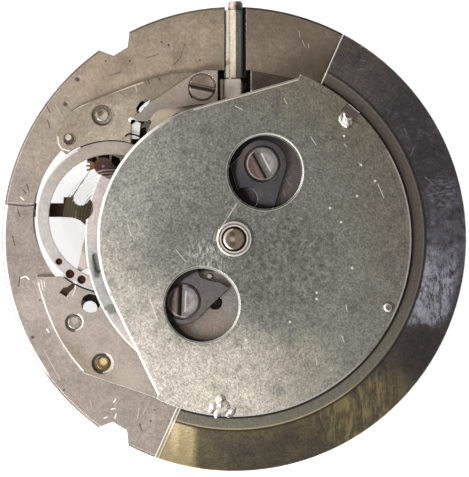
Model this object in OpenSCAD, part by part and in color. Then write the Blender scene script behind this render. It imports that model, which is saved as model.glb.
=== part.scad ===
// Self-winding mechanical watch movement, about 26 mm across.
// +Z points to the back, where the rotor turns. +Y points out along the winding stem.
// The origin is the centre of the movement on the seat of the dial.

/* [Mainplate] */
// Radius of the mainplate
plate_r = 13.0; // [12.95:0.01:13.1]
// Radius of the band that seats in the case
case_seat_r = 12.7; // [12.65:0.01:12.75]
// Height of the band that seats in the case
case_seat_h = 0.85; // [0.8:0.01:0.88]
// Height of the raised ring above the dial seat
ring_top = 2.7; // [2.6:0.01:2.8]
// Radius of the step where the bridges meet the ring
ring_in_r = 11.26; // [11.2:0.01:11.4]
// Height of the seat that carries the bridges
seat_z = 2.4; // [2.38:0.01:2.45]
// Height of the floor under barrel and train
floor_z = 1.0; // [0.98:0.01:1.02]
// Depth of the recess for the motion work in the dial side
dial_recess = 0.48; // [0.46:0.01:0.5]
// Depth of the recess for the levers in the dial side
keyless_depth = 0.3; // [0.28:0.01:0.34]
// Depth of the two case clamp notches
notch_depth = 0.72; // [0.6:0.01:0.8]
// Radius of the two holes for the dial feet
dial_foot_r = 0.35; // [0.3:0.01:0.4]
// Depth of the two holes for the dial feet
dial_foot_depth = 1.6; // [1.4:0.1:1.8]

/* [Bridges] */
// Thickness of the upper and the lower bridge
bridge_t = 0.7; // [0.65:0.01:0.72]
// Thickness of the spring plate beside the stem
spring_plate_t = 0.25; // [0.2:0.01:0.3]
// Radius of the automatic base plate
auto_r = 8.35; // [8.32:0.01:8.38]
// Height of the underside of the automatic base plate
auto_z = 3.6; // [3.55:0.01:3.62]
// Thickness of the automatic base plate
auto_t = 0.6; // [0.55:0.01:0.6]
// Thickness of the rotor bridge
rotor_bridge_t = 0.5; // [0.45:0.01:0.5]

/* [Balance] */
// Distance of the balance staff left of the centre
balance_x = -6.86; // [-6.9:0.01:-6.8]
// Distance of the balance staff above the centre
balance_y = 1.23; // [1.2:0.01:1.3]
// Outer radius of the balance rim
rim_r = 4.25; // [4.2:0.01:4.3]
// Width of the balance rim
rim_w = 0.75; // [0.7:0.01:0.8]
// Height of the balance rim
rim_t = 0.45; // [0.4:0.01:0.45]
// Radius of the opening round the balance
cavity_r = 5.36; // [5.34:0.01:5.4]
// Number of turns of the hairspring
hair_turns = 13; // [12:1:14]
// Thickness of the hairspring strip
hair_t = 0.04; // [0.03:0.01:0.05]

/* [Gear train] */
// Tooth module of barrel and centre pinion
mod_barrel = 0.14; // [0.138:0.001:0.141]
// Tooth module of centre wheel and third pinion
mod_centre = 0.1; // [0.098:0.001:0.101]
// Tooth module of third wheel and fourth pinion
mod_third = 0.09; // [0.089:0.001:0.091]
// Tooth module of fourth wheel and escape pinion
mod_fourth = 0.075; // [0.074:0.001:0.076]
// Thickness of a train wheel
wheel_t = 0.12; // [0.1:0.01:0.13]
// Radius of a train arbor
arbor_r = 0.16; // [0.14:0.01:0.18]
// Radius of a pivot
pivot_r = 0.07; // [0.06:0.01:0.08]
// Radial play of a pivot in its jewel
pivot_play = 0.03; // [0.02:0.01:0.05]
// Radius of a jewel
jewel_r = 0.35; // [0.3:0.01:0.36]
// Radius of the escape wheel
escape_r = 1.85; // [1.8:0.01:1.88]

/* [Rotor] */
// Radius of the rotor plate on the side of the weight
rotor_r = 9.95; // [9.9:0.01:10.0]
// Radius of the rotor plate on the light side
rotor_back_r = 7.67; // [7.6:0.01:7.8]
// Thickness of the rotor plate
rotor_t = 0.35; // [0.3:0.01:0.4]
// Height of the underside of the rotor plate
rotor_z = 5.1; // [5.08:0.01:5.2]
// Angle of the middle of the weight
rotor_angle = -24; // [-26:1:-22]
// Outer radius of the weight
weight_r = 13.0; // [12.9:0.01:13.05]
// Inner radius of the weight
weight_in_r = 8.9; // [8.85:0.01:8.95]
// Height of the underside of the weight
weight_z = 3.5; // [3.45:0.01:3.55]
// Radius of the two access holes in the rotor plate
access_r = 2.05; // [2.0:0.01:2.1]
// Distance of the access holes from the centre
access_at = 4.12; // [4.1:0.01:4.15]
// Outer radius of the rotor tube
tube_r = 0.98; // [0.95:0.01:1.0]
// Radius of the post that the rotor turns on
post_r = 0.5; // [0.48:0.01:0.52]
// Radial play of the rotor tube on its post
post_play = 0.05; // [0.04:0.01:0.06]

/* [Stem] */
// Radius of the winding stem
stem_r = 0.41; // [0.4:0.01:0.42]
// Sideways place of the winding stem
stem_x = 0.07; // [0.05:0.01:0.09]
// Height of the axis of the winding stem
stem_z = 1.35; // [1.34:0.01:1.36]
// Place of the outer end of the stem
stem_tip = 13.33; // [13.2:0.01:13.5]
// Radius of the winding pinion
winding_r = 0.62; // [0.6:0.01:0.63]
// Radius of the teeth of the winding pinion
flange_tooth_r = 0.84; // [0.82:0.01:0.85]
// Radius of the sliding clutch
clutch_r = 0.46; // [0.44:0.01:0.47]

/* [Dial side] */
// Tooth module of the motion work
mod_motion = 0.1; // [0.098:0.001:0.101]
// Length of the cannon pinion below the dial seat
cannon_len = 1.3; // [1.2:0.05:1.4]
// Length of the hour pipe below the dial seat
hour_len = 0.8; // [0.7:0.05:0.9]
// Radius of the hour pipe
hour_r = 0.75; // [0.7:0.01:0.8]
// Radius of the cannon pinion pipe
cannon_r = 0.45; // [0.42:0.01:0.46]

/* [Hidden] */

cut = 0.01;
$fn = 48;
smooth = 96;

// Play between a wheel and its pocket, and other named gaps
pocket_gap = 0.2;
// smaller, so that a land stays between the barrel's pocket and the ring
barrel_gap = 0.12;
air = 0.1;

// Tooth counts
n_barrel = 72;
n_centre_pinion = 12;
n_centre = 64;
n_third_pinion = 8;
n_third = 60;
n_fourth_pinion = 8;
n_fourth = 60;
n_escape_pinion = 6;
n_escape = 15;
n_ratchet = 54;
n_crown = 29;
n_crown_low = 28;
n_winding = 12;
n_cannon = 10;
n_minute = 30;
n_minute_pinion = 8;
n_hour = 32;
n_setting = 28;
n_rotor_pinion = 14;
n_reverse = 26;
n_reverse_pinion = 10;
n_reduce = 36;
n_reduce_pinion = 8;
mod_auto = 0.12;
mod_auto_low = 0.11;

function pitch_r(n, m) = n * m / 2;
function polar(r, a) = [r * cos(a), r * sin(a)];
function angle_of(v) = atan2(v[1], v[0]);

// The point at distance ra from a and rb from b, on the left side of the way from a to b
function meet(a, ra, b, rb, side = 1) =
  let (d = norm(b - a), u = (b - a) / d, along = (ra * ra - rb * rb + d * d) / (2 * d),
       off = sqrt(ra * ra - along * along))
  a + along * u + side * off * [-u[1], u[0]];

// The angle of one tooth of a wheel with nb teeth that meshes with a wheel of na teeth,
// whose tooth stands at angle a, where line is the direction from that wheel to this one
function mesh_angle(line, na, a, nb) =
  let (f = (line - a) * na / 360)
  line + 180 + (f - floor(f) + 0.5) * 360 / nb;

// Places of the arbors
centre_at = [0, 0];
balance_at = [balance_x, balance_y];
barrel_dir = 27;
barrel_at = polar(pitch_r(n_barrel + n_centre_pinion, mod_barrel), barrel_dir);
third_dir = 110;
third_at = polar(pitch_r(n_centre + n_third_pinion, mod_centre), third_dir);
fourth_dir = 150;
fourth_at = third_at + polar(pitch_r(n_third + n_fourth_pinion, mod_third), fourth_dir);
escape_dir = 155;
escape_at = fourth_at + polar(pitch_r(n_fourth + n_escape_pinion, mod_fourth), escape_dir);
pallet_from_escape = 2.24;
pallet_from_balance = 2.88;
pallet_at = meet(balance_at, pallet_from_balance, escape_at, pallet_from_escape, 1);
mod_wind = 0.14;
crown_gap = pitch_r(n_ratchet + n_crown, mod_wind);
crown_at = [stem_x, barrel_at[1] + sqrt(pow(crown_gap, 2) - pow(barrel_at[0] - stem_x, 2))];
reverse_dir = -40;
reverse_at = polar(pitch_r(n_rotor_pinion + n_reverse, mod_auto), reverse_dir);
reduce_at = meet(reverse_at, pitch_r(n_reverse_pinion + n_reduce, mod_auto_low),
                 barrel_at, pitch_r(n_ratchet + n_reduce_pinion, mod_wind), -1);
minute_dir = 75;
minute_at = polar(pitch_r(n_cannon + n_minute, mod_motion), minute_dir);
setting_dir = 84;
setting_at = minute_at + polar(pitch_r(n_minute + n_setting, mod_motion), setting_dir);

// Heights
bridge_top = seat_z + bridge_t;
drum_z = floor_z + 0.05;
drum_t = 0.65;
third_z = 1.88;
centre_z = 2.06;
fourth_z = 1.2;
escape_z = 1.72;
fork_z = 1.72;
rim_z = 2.35;
roller_z = 2.0;
cock_z = 3.05;
cock_t = 0.45;
ratchet_z = bridge_top + 0.05;
ratchet_t = 0.2;
crown_z = seat_z - 0.18;
auto_top = auto_z + auto_t;
rotor_bridge_top = auto_top + rotor_bridge_t;
rotor_top = rotor_z + rotor_t;
reverse_z = rotor_bridge_top + 0.08;
motion_z = 0.08;
motion_t = 0.17;
upper_motion_z = dial_recess - 0.2;
pivot_len = 0.22;
jewel_t = 0.25;

// Teeth: each is a trapezium with four points
function tooth_points(n, m, thick = 0.44) =
  let (r = pitch_r(n, m), root = r - 1.2 * m, tip = r + 0.85 * m, step = 360 / n)
  [for (i = [0 : n - 1], p = [[root, -0.30], [tip, -thick / 4], [tip, thick / 4], [root, 0.30]])
    polar(p[0], (i + p[1]) * step)];

module gear2d(n, m) {
  polygon(tooth_points(n, m));
}

module gear(n, m, t, a = 0) {
  rotate([0, 0, a]) linear_extrude(height = t) gear2d(n, m);
}

// A train wheel with a rim, a hub and straight spokes
module spoked_wheel(n, m, t, a, spokes, hub, bore, rim = 0.3) {
  inner = pitch_r(n, m) - 1.2 * m - rim;
  spoke_w = 0.28;
  rotate([0, 0, a]) linear_extrude(height = t) difference() {
    gear2d(n, m);
    difference() {
      circle(r = inner, $fn = smooth);
      circle(r = hub);
      for (i = [0 : spokes - 1])
        rotate([0, 0, i * 360 / spokes]) translate([0, -spoke_w / 2]) square([inner + rim / 2, spoke_w]);
    }
    circle(r = bore);
  }
}

module at(p, z = 0) {
  translate([p[0], p[1], z]) children();
}

module rod(p, z0, z1, r) {
  at(p, z0) cylinder(r = r, h = z1 - z0);
}

module tube(p, z0, z1, r, bore) {
  at(p, z0) difference() {
    cylinder(r = r, h = z1 - z0);
    translate([0, 0, -cut]) cylinder(r = bore, h = z1 - z0 + 2 * cut);
  }
}

// A slotted screw whose head stands on height z
module screw(p, z, head_r, head_t, shank_r, shank_len, slot_w, slot_a) {
  chamfer = 0.08;
  at(p, z) difference() {
    union() {
      cylinder(r = head_r, h = head_t - chamfer);
      translate([0, 0, head_t - chamfer]) cylinder(r1 = head_r, r2 = head_r - chamfer, h = chamfer);
      translate([0, 0, -shank_len]) cylinder(r = shank_r, h = shank_len + cut);
    }
    rotate([0, 0, slot_a]) translate([-head_r - cut, -slot_w / 2, head_t * 0.25])
      cube([2 * (head_r + cut), slot_w, head_t]);
  }
}

// Places of the fasteners
upper_screws = [[6.3, 8.55], [9.2, -1.5]];
lower_screws = [[-4.1, -7.2], [-5.4, -5.6]];
bridge_screw_r = 0.55;
bridge_shank_r = 0.28;
bridge_hole_depth = 1.2;
nose_screw_at = [-9.24, 5.6];
nose_screw_r = 0.3;
pin_r = 0.38;
pin_places = [[-7.39, 6.94], [-7.36, -6.97], [-8.95, -4.69]];
pin_depth = [0.3, 1, 1];
pin_well_r = 0.6;
cock_foot_at = [-4.1, -3.5];
cock_foot_r = 1.15;
auto_posts = [[-3.0, 6.55], [6.6, -4.2], [-3.2, -5.9]];
auto_post_r = 0.6;
auto_screw_r = 0.55;
auto_shank_r = 0.25;
rotor_screw_places = [[1.6, 4.2], [-2.86, -3.49]];
rotor_bridge_screw_r = 0.92;
setting_screw_at = [-1.77, 8.51];
setting_screw_r = 0.76;
setting_shank_r = 0.3;
// its head sits this far up in the spring plate, so that the rotor passes over it
setting_sink = 0.1;

// Outlines of the bridges, seen from the back
stem_slot_w = 1.22;
stem_gap_x = 0.93;
ring_edge = [[-0.9, 9.46], [-1.96, 9.37], [-3.58, 9.24], [-5.38, 8.74], [-7.11, 8.06], [-8.57, 7.47],
  [-8.99, 7.22], [-9.69, 6.38], [-9.93, 5.95], [-9.97, 5.6], [-9.86, 5.2], [-9.6, 4.9]];
right_edge = [[4.7, 8.76], [stem_gap_x, 9.46]];
rim_gap = 0.06;

module balance_clear2d() {
  translate(balance_at) circle(r = rim_r + rim_gap, $fn = smooth);
}

module upper_outline2d() {
  polygon(concat(ring_edge, [[-7.5, 3.0], [-3.4, -1.2], [-1.9, -1.9], [1.2, -2.3], [stem_gap_x, 9.46]]));
  intersection() {
    circle(r = ring_in_r, $fn = smooth);
    polygon(concat([[stem_gap_x - cut, 9.46], [1.1, -2.27], [4.5, -3.4], [8.6, -3.6], [12, -2.2],
      [12, 10.6]], right_edge));
  }
}

module lower_outline2d() {
  intersection() {
    circle(r = ring_in_r, $fn = smooth);
    polygon([[-12, -2.1], [-12, -6.3], [-4.48, -8.85], [-2.2, -9.3], [-1.6, -6.6], [-2.6, -4.9],
      [-4.2, -5.1], [-5.5, -4.2], [-6.3, -2.4], [-8.5, -2.1]]);
  }
}

hidden_x = -4.9;
module cavity2d() {
  translate([balance_x + 1.05, balance_y]) circle(r = cavity_r, $fn = smooth);
}

// The deep opening: what shows beside the automatic work, and room for roller and fork
module open_cavity2d() {
  difference() {
    cavity2d();
    translate([hidden_x, -6]) square([12, 14]);
  }
  translate(balance_at) circle(r = roller_r + 0.3);
  translate(pallet_foot_at) circle(r = pallet_foot_r + 0.1);
}

// The window beside the spring plate
window_x = -5.78;
module spring_window2d() {
  polygon([[window_x, 5.1], [window_x, 6.66], [-5.3, 6.72], [-4.85, 6.78], [-4.62, 6.6], [-4.8, 6.1], [-5.1, 5.5],
    [-5.1, 5.1]]);
}

// The slot behind the spring plate, open through bridge and plate
module crescent2d() {
  polygon([[-5.46, 7.12], [-5.47, 7.34], [-5.26, 7.66], [-4.93, 7.85], [-4.72, 7.84], [-4.76, 7.62], [-5.3, 7.0]]);
}

// The part of the plate that stays under the balance: arm, hub and floor of the escapement
module balance_arm2d() {
  hub_r = 1.35;
  difference() {
    union() {
      translate(balance_at) circle(r = hub_r);
      translate(balance_at) polygon([[-4.6, 0.78], [-2.7, 0.78], [-2.68, 1.12], [-2.3, 1.12],
        [-1.0, 2.9], [2.4, 3.4], [2.4, -2.6], [-0.6, -1.8], [-1.22, -0.92], [-1.42, -0.5],
        [-1.75, -0.2], [-2.2, -0.04], [-2.9, 0], [-4.6, 0]]);
    }
    hull() {
      translate([-8.56, 2.3]) circle(r = 0.42);
      translate([-7.5, 3.75]) circle(r = 0.5);
    }
  }
}

escapement_floor_r = 2.62;
window_low = -2.12;
module balance_window2d() {
  difference() {
    cavity2d();
    balance_arm2d();
    translate(escape_at) circle(r = escapement_floor_r);
    translate([hidden_x, -6]) square([12, 14]);
    // a floor stays under the lower bridge
    translate([-12, window_low - 6]) square([12, 6]);
  }
}

module notch2d() {
  mouth = 1.05;
  base = 0.46;
  polygon([[plate_r - notch_depth, -base], [plate_r + 0.3, -mouth - 0.2],
    [plate_r + 0.3, mouth + 0.2], [plate_r - notch_depth, base]]);
}
notch_dirs = [121.2, 238.6];
dial_foot_at = 11.9;
dial_foot_dirs = [152, 322];

module pivot_hole(p, floor) {
  rod(p, floor - jewel_t, floor + cut, jewel_r);
  rod(p, -cut, floor, 0.2);
}

setting_post_r = 0.26;
minute_post_r = 0.16;
lever_post_r = 0.17;
post_air = 0.04;
keyless_outline = [[-4.6, 5.0], [-4.6, 8.9], [-1.2, 10.6], [2.6, 10.6], [3.4, 9.0], [3.2, 3.2], [-0.9, 3.0]];

// Posts under the dial that carry wheels and levers
module dial_posts() {
  rod(setting_at, 0.06, dial_recess + cut, setting_post_r);
  rod(minute_at, 0.06, dial_recess + cut, minute_post_r);
  rod(lever_at, 0.03, keyless_depth + cut, lever_post_r);
  rod(yoke_at, 0.03, keyless_depth + cut, lever_post_r);
}

module mainplate() {
  color([0.62, 0.58, 0.53]) {
    plate_body();
    dial_posts();
  }
}

module plate_body() {
  flange_h = 0.5;
  flange_r = plate_r - 0.12;
  slot_floor = stem_z - stem_r - 0.07;
  difference() {
    union() {
      cylinder(r = case_seat_r, h = ring_top - flange_h, $fn = smooth);
      translate([0, 0, case_seat_h]) cylinder(r = plate_r, h = ring_top - flange_h - case_seat_h, $fn = smooth);
      translate([0, 0, ring_top - flange_h - cut]) cylinder(r = flange_r, h = flange_h + cut, $fn = smooth);
    }
    // wells that take the bridges
    translate([0, 0, seat_z]) linear_extrude(height = 1) {
      upper_outline2d();
      lower_outline2d();
      circle(r = 9.2, $fn = smooth);
      polygon([[-1, 8], [-0.9, 9.46], [stem_gap_x, 9.46], [1, 8]]);
    }
    translate([0, 0, floor_z]) linear_extrude(height = 3) open_cavity2d();
    rod(balance_at, rim_z - 0.12, ring_top + 1, rim_r + 0.15);
    translate([0, 0, -cut]) linear_extrude(height = 3) balance_window2d();
    // pockets of the wheels
    rod(barrel_at, floor_z, ring_top + 1, pitch_r(n_barrel, mod_barrel) + mod_barrel + barrel_gap);
    rod(centre_at, floor_z, seat_z + cut, pitch_r(n_centre_pinion, mod_barrel) + mod_barrel + pocket_gap);
    rod(centre_at, centre_z - air, seat_z + cut, pitch_r(n_centre, mod_centre) + mod_centre + pocket_gap);
    rod(third_at, third_z - air, seat_z + cut, pitch_r(n_third, mod_third) + mod_third + pocket_gap);
    rod(fourth_at, floor_z, seat_z + cut, pitch_r(n_fourth, mod_fourth) + mod_fourth + pocket_gap);
    rod(escape_at, floor_z, seat_z + cut, escape_r + pocket_gap);
    rod(crown_at, crown_z - air, seat_z + cut, pitch_r(n_crown_low, mod_wind) + mod_wind + pocket_gap);
    // the way of the stem, the winding pinion and the clutch
    translate([stem_x - stem_slot_w / 2, 9.3, slot_floor]) cube([stem_slot_w, 5, 3]);
    translate([stem_x - flange_tooth_r - 0.13, pinion_y0 - 0.1, stem_z - flange_tooth_r - 0.04])
      cube([2 * flange_tooth_r + 0.22, 9.46 - pinion_y0 + 0.1, 3]);
    translate([stem_x - clutch_r - 0.08, clutch_y0 - pull, stem_z - clutch_r - 0.06])
      cube([2 * clutch_r + 0.16, pinion_y0 - clutch_y0 + pull, 3]);
    translate([stem_x - square_r - 0.1, stem_end - 0.05, stem_z - square_r - 0.1]) cube([2 * square_r + 0.2, 1, 1]);
    // slots for the pin of the setting lever and the finger of the yoke
    translate([stem_x - 0.3, groove_y - 0.08, -cut]) cube([0.6, pull + groove_w + 0.16, slot_floor + 1]);
    translate([stem_x - 0.65, finger_at[1] - pull, -cut]) cube([0.45, pull + 0.2, 1]);
    // dial side recesses
    translate([0, 0, -cut]) linear_extrude(height = dial_recess + cut) {
      circle(r = pitch_r(n_hour, mod_motion) + 0.3);
      translate(minute_at) circle(r = pitch_r(n_minute, mod_motion) + 0.3);
      translate(setting_at) circle(r = pitch_r(n_setting, mod_motion) + 0.3);
    }
    translate([0, 0, -cut]) linear_extrude(height = keyless_depth + cut) polygon(keyless_outline);
    // what shows white in the photo: beside the stem, in the crescent slot and in the lower bridge's hole
    translate([0, 0, -cut]) linear_extrude(height = 3) {
      polygon([[-5.36, 7.12], [-5.28, 7.34], [-4.98, 7.62], [-4.72, 7.76], [-4.76, 7.62], [-5.3, 7.0]]);
      polygon([[-0.5, 10.9], [-0.52, 14], [-0.3, 14], [-0.36, 11.5], [-0.42, 10.9]]);
    }
    rod([-8.06, -3.87], -cut, seat_z + cut, 0.4);
    // clamp notches and dial feet
    for (a = notch_dirs)
      rotate([0, 0, a]) translate([0, 0, -cut]) linear_extrude(height = ring_top + 1) notch2d();
    for (a = dial_foot_dirs)
      rod(polar(dial_foot_at, a), -cut, dial_foot_depth, dial_foot_r);
    // bearings
    rod(centre_at, -cut, floor_z + cut, arbor_r + 0.15);
    pivot_hole(third_at, third_z - air);
    pivot_hole(fourth_at, floor_z);
    pivot_hole(escape_at, floor_z);
    pivot_hole(pallet_at, floor_z);
    pivot_hole(balance_at, floor_z);
    rod(barrel_at, floor_z - 0.5, floor_z + cut, 0.5);
    // fasteners
    for (p = concat(upper_screws, lower_screws))
      rod(p, seat_z - bridge_hole_depth, seat_z + cut, bridge_shank_r);
    for (i = [0 : 2])
      rod(pin_places[i], seat_z - pin_depth[i], seat_z + cut, pin_r);
    rod(cock_foot_at, seat_z - 1, seat_z + cut, bridge_shank_r);
    rod(setting_screw_at, seat_z - 0.9, seat_z + cut, setting_shank_r);
    rod(auto_posts[1], seat_z - 1, seat_z + cut, auto_shank_r);
  }
}

module upper_bridge() {
  step_h = 0.45;
  color([0.66, 0.63, 0.58]) difference() {
    translate([0, 0, seat_z]) linear_extrude(height = bridge_t) difference() {
      upper_outline2d();
      balance_clear2d();
      spring_window2d();
      translate([-0.9, 7.6]) square([0.9 + stem_gap_x, 3]);
    }
    // lower step right of the stem
    translate([stem_gap_x - cut, 8.36, bridge_top - step_h]) cube([4.2, 4, 1]);
    translate([0, 0, seat_z - cut]) linear_extrude(height = 1) crescent2d();
    rod(pin_places[0], seat_z - cut, bridge_top - 0.25, pin_r);
    rod(pin_places[0], bridge_top - 0.25, bridge_top + cut, pin_well_r);
    rod(nose_screw_at, seat_z + 0.1, bridge_top + cut, nose_screw_r);
    for (p = upper_screws)
      rod(p, seat_z - cut, bridge_top + cut, bridge_shank_r);
    rod(auto_posts[0], seat_z + 0.1, bridge_top + cut, auto_shank_r);
    rod(setting_screw_at, seat_z - cut, bridge_top + cut, setting_shank_r);
    rod(barrel_at, seat_z - cut, bridge_top + cut, 0.9);
    rod(crown_at, seat_z - cut, bridge_top + cut, crown_axle_r + 0.06);
    rod(centre_at, seat_z - cut, bridge_top + cut, jewel_r);
    for (p = [third_at, fourth_at, escape_at])
      rod(p, seat_z - cut, seat_z + jewel_t, jewel_r);
    rod(reduce_at, bridge_top - 0.3, bridge_top + cut, pivot_r + pivot_play);
    rod(click_at, bridge_top - 0.5, bridge_top + cut, click_post_r);
  }
}

module lower_bridge() {
  color([0.67, 0.64, 0.6]) difference() {
    translate([0, 0, seat_z]) linear_extrude(height = bridge_t) difference() {
      lower_outline2d();
      balance_clear2d();
      translate(cock_foot_at) circle(r = cock_foot_r + 0.08);
      translate([-8.02, -3.6]) circle(r = 0.53);
    }
    rod(pin_places[1], seat_z - cut, bridge_top - 0.25, pin_r);
    rod(pin_places[1], bridge_top - 0.25, bridge_top + cut, pin_well_r);
    rod(pin_places[2], seat_z - cut, bridge_top - 0.12, pin_r);
    rod(pin_places[2], bridge_top - 0.12, bridge_top + cut, pin_r + 0.12);
    for (p = lower_screws)
      rod(p, seat_z - cut, bridge_top + cut, bridge_shank_r);
    rod(auto_posts[2], seat_z + 0.1, bridge_top + cut, auto_shank_r);
    // stepped key-like recess
    translate([0, 0, bridge_top - 0.3]) linear_extrude(height = 1)
      polygon([[-8.83, -2.42], [-8.95, -2.75], [-9.15, -2.95], [-9.38, -3.24], [-9.76, -3.0], [-9.55, -2.72],
        [-9.3, -2.66], [-9.08, -2.5]]);
  }
}

module bridge_pins() {
  edge = 0.06;
  color([0.72, 0.66, 0.55]) for (i = [0 : 2]) {
    rod(pin_places[i], seat_z - pin_depth[i], bridge_top - 0.05, pin_r);
    at(pin_places[i], bridge_top - 0.05) cylinder(r1 = pin_r, r2 = pin_r - edge, h = 0.05);
  }
}

module bridge_screws() {
  color([0.5, 0.48, 0.47]) {
    for (i = [0 : 1])
      screw(upper_screws[i], bridge_top, bridge_screw_r, 0.25, bridge_shank_r, bridge_t + 1.2, 0.16, 35 + 50 * i);
    for (i = [0 : 1])
      screw(lower_screws[i], bridge_top, bridge_screw_r, 0.25, bridge_shank_r, bridge_t + 1.2, 0.16, 20 + 70 * i);
    rod(nose_screw_at, seat_z + 0.1, bridge_top - 0.1, nose_screw_r);
  }
}

module jewel(p, z) {
  tube(p, z, z + jewel_t, jewel_r, pivot_r + pivot_play);
}

module jewels() {
  color([0.62, 0.1, 0.22]) {
    jewel(third_at, third_z - air - jewel_t);
    jewel(fourth_at, floor_z - jewel_t);
    jewel(escape_at, floor_z - jewel_t);
    jewel(pallet_at, floor_z - jewel_t);
    jewel(balance_at, floor_z - jewel_t);
    for (p = [third_at, fourth_at, escape_at])
      jewel(p, seat_z);
    tube(centre_at, seat_z, bridge_top, jewel_r, pivot_r + pivot_play + 0.05);
    jewel(balance_at, cock_z);
    jewel(pallet_at, pallet_bridge_z);
  }
}

// Balance, its spring and its cock
module balance_cock() {
  head_r = 1.1;
  color([0.66, 0.63, 0.58]) difference() {
    union() {
      at([0, 0], cock_z) linear_extrude(height = cock_t) hull() {
        translate(balance_at) circle(r = head_r);
        translate(cock_foot_at) circle(r = cock_foot_r);
      }
      rod(cock_foot_at, seat_z, cock_z + cut, cock_foot_r);
    }
    rod(balance_at, cock_z - cut, cock_z + jewel_t, jewel_r);
    rod(cock_foot_at, seat_z - cut, cock_z + cock_t + cut, bridge_shank_r);
    rod(cock_foot_at, cock_z + cock_t - 0.25, cock_z + cock_t + cut, bridge_screw_r + 0.05);
    rod(stud_at, cock_z - cut, cock_z + cock_t + cut, stud_r);
  }
}

module balance_cock_screw() {
  color([0.5, 0.48, 0.47])
    screw(cock_foot_at, cock_z + cock_t - 0.25, bridge_screw_r, 0.25, bridge_shank_r,
          cock_z + cock_t - 0.25 - seat_z + 0.9, 0.16, 60);
}

hair_in_r = 0.55;
hair_pitch = 0.17;
hair_z = rim_z + rim_t + 0.06;
hair_h = 0.14;
stud_dir = 310;
stud_r = 0.14;
hair_out_r = hair_in_r + hair_pitch * hair_turns;
stud_at = balance_at + polar(hair_out_r + hair_t / 2 + stud_r, stud_dir);
hair_steps = 24;

// Spiral strip: the least gap between turns is the pitch less the strip
function spiral_points(r0, pitch, turns, dir, side) =
  [for (i = [0 : hair_steps * turns]) polar(r0 + side + pitch * i / hair_steps,
                                            dir + i * 360 / hair_steps)];
function back(list) = [for (i = [len(list) - 1 : -1 : 0]) list[i]];

module hairspring() {
  color([0.25, 0.3, 0.5]) at(balance_at, hair_z) {
    linear_extrude(height = hair_h)
      polygon(concat(spiral_points(hair_in_r, hair_pitch, hair_turns, stud_dir, -hair_t / 2),
                     back(spiral_points(hair_in_r, hair_pitch, hair_turns, stud_dir, hair_t / 2))));
  }
}

module hairspring_stud() {
  color([0.7, 0.7, 0.7]) rod(stud_at, hair_z - 0.04, cock_z + cock_t, stud_r);
}

rim_hole_dirs = [220, 233.7, 244.5];
rim_hole_radii = [0.16, 0.22, 0.21];

// Half of the broad S-shaped web that carries the rim; the other half is the same turned round
function web_side(reach) = [[-0.54, -0.86] * reach, [-1.62, -1.6], [-1.42, -0.84], [-1.12, 0.5], [-0.9, 1.4],
  [-0.2, 2.3]];
module balance_wheel() {
  rim_in = rim_r - rim_w;
  web_t = 0.2;
  side = web_side(rim_in + 0.15);
  color([0.78, 0.73, 0.7]) at(balance_at, rim_z) difference() {
    union() {
      difference() {
        cylinder(r = rim_r, h = rim_t, $fn = smooth);
        translate([0, 0, -cut]) cylinder(r = rim_in, h = 1, $fn = smooth);
      }
      linear_extrude(height = web_t) polygon(concat(side, [for (p = side) -p]));
    }
    translate([0, 0, -cut]) cylinder(r = 0.3, h = 1);
    for (i = [0 : 2])
      rotate([0, 0, rim_hole_dirs[i]]) translate([rim_r - rim_w / 2 + 0.02, 0, rim_t - 0.3])
        cylinder(r = rim_hole_radii[i], h = 1);
  }
}

module balance_staff() {
  color([0.75, 0.75, 0.76]) {
    rod(balance_at, roller_z - 0.12, hair_z - 0.02, 0.3);
    rod(balance_at, hair_z - 0.02, hair_z + hair_h + 0.02, hair_in_r - hair_t / 2 - 0.04);
    rod(balance_at, hair_z - 0.02, cock_z - 0.05, 0.24);
    rod(balance_at, floor_z + 0.06, roller_z - 0.12 + cut, 0.18);
    rod(balance_at, floor_z - pivot_len + cut, floor_z + 0.07, pivot_r);
    rod(balance_at, cock_z - 0.06, cock_z + pivot_len, pivot_r);
  }
}

pin_orbit = 0.7;
impulse_r = 0.07;
roller_r = 0.92;
module impulse_roller() {
  pallet_dir = angle_of(pallet_at - balance_at);
  color([0.76, 0.74, 0.7]) {
    tube(balance_at, roller_z, roller_z + 0.2, roller_r, 0.3);
    rod(balance_at + polar(pin_orbit, pallet_dir), fork_z - 0.02, roller_z + cut, impulse_r);
  }
}

// Escapement
pallet_bridge_z = 2.02;
pallet_bridge_t = 0.25;
pallet_foot_at = pallet_at + polar(2.05, -46);
pallet_foot_r = 0.4;
fork_t = 0.16;
module pallet_bridge() {
  color([0.66, 0.62, 0.56]) difference() {
    union() {
      at([0, 0], pallet_bridge_z) linear_extrude(height = pallet_bridge_t) hull() {
        translate(pallet_at) circle(r = 0.5);
        translate(pallet_foot_at) circle(r = pallet_foot_r);
      }
      rod(pallet_foot_at, floor_z, pallet_bridge_z + cut, pallet_foot_r);
    }
    rod(pallet_at, pallet_bridge_z - cut, pallet_bridge_z + jewel_t + cut, jewel_r);
  }
}

stone_spread = 32;
stone_tip_r = escape_r + 0.14;
stone_len = 0.42;
stone_w = 0.16;
module stone_places() {
  toward = angle_of(pallet_at - escape_at);
  for (s = [-1, 1])
    at(escape_at, fork_z) rotate([0, 0, toward + s * stone_spread]) translate([stone_tip_r, 0, 0]) children();
}

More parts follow.
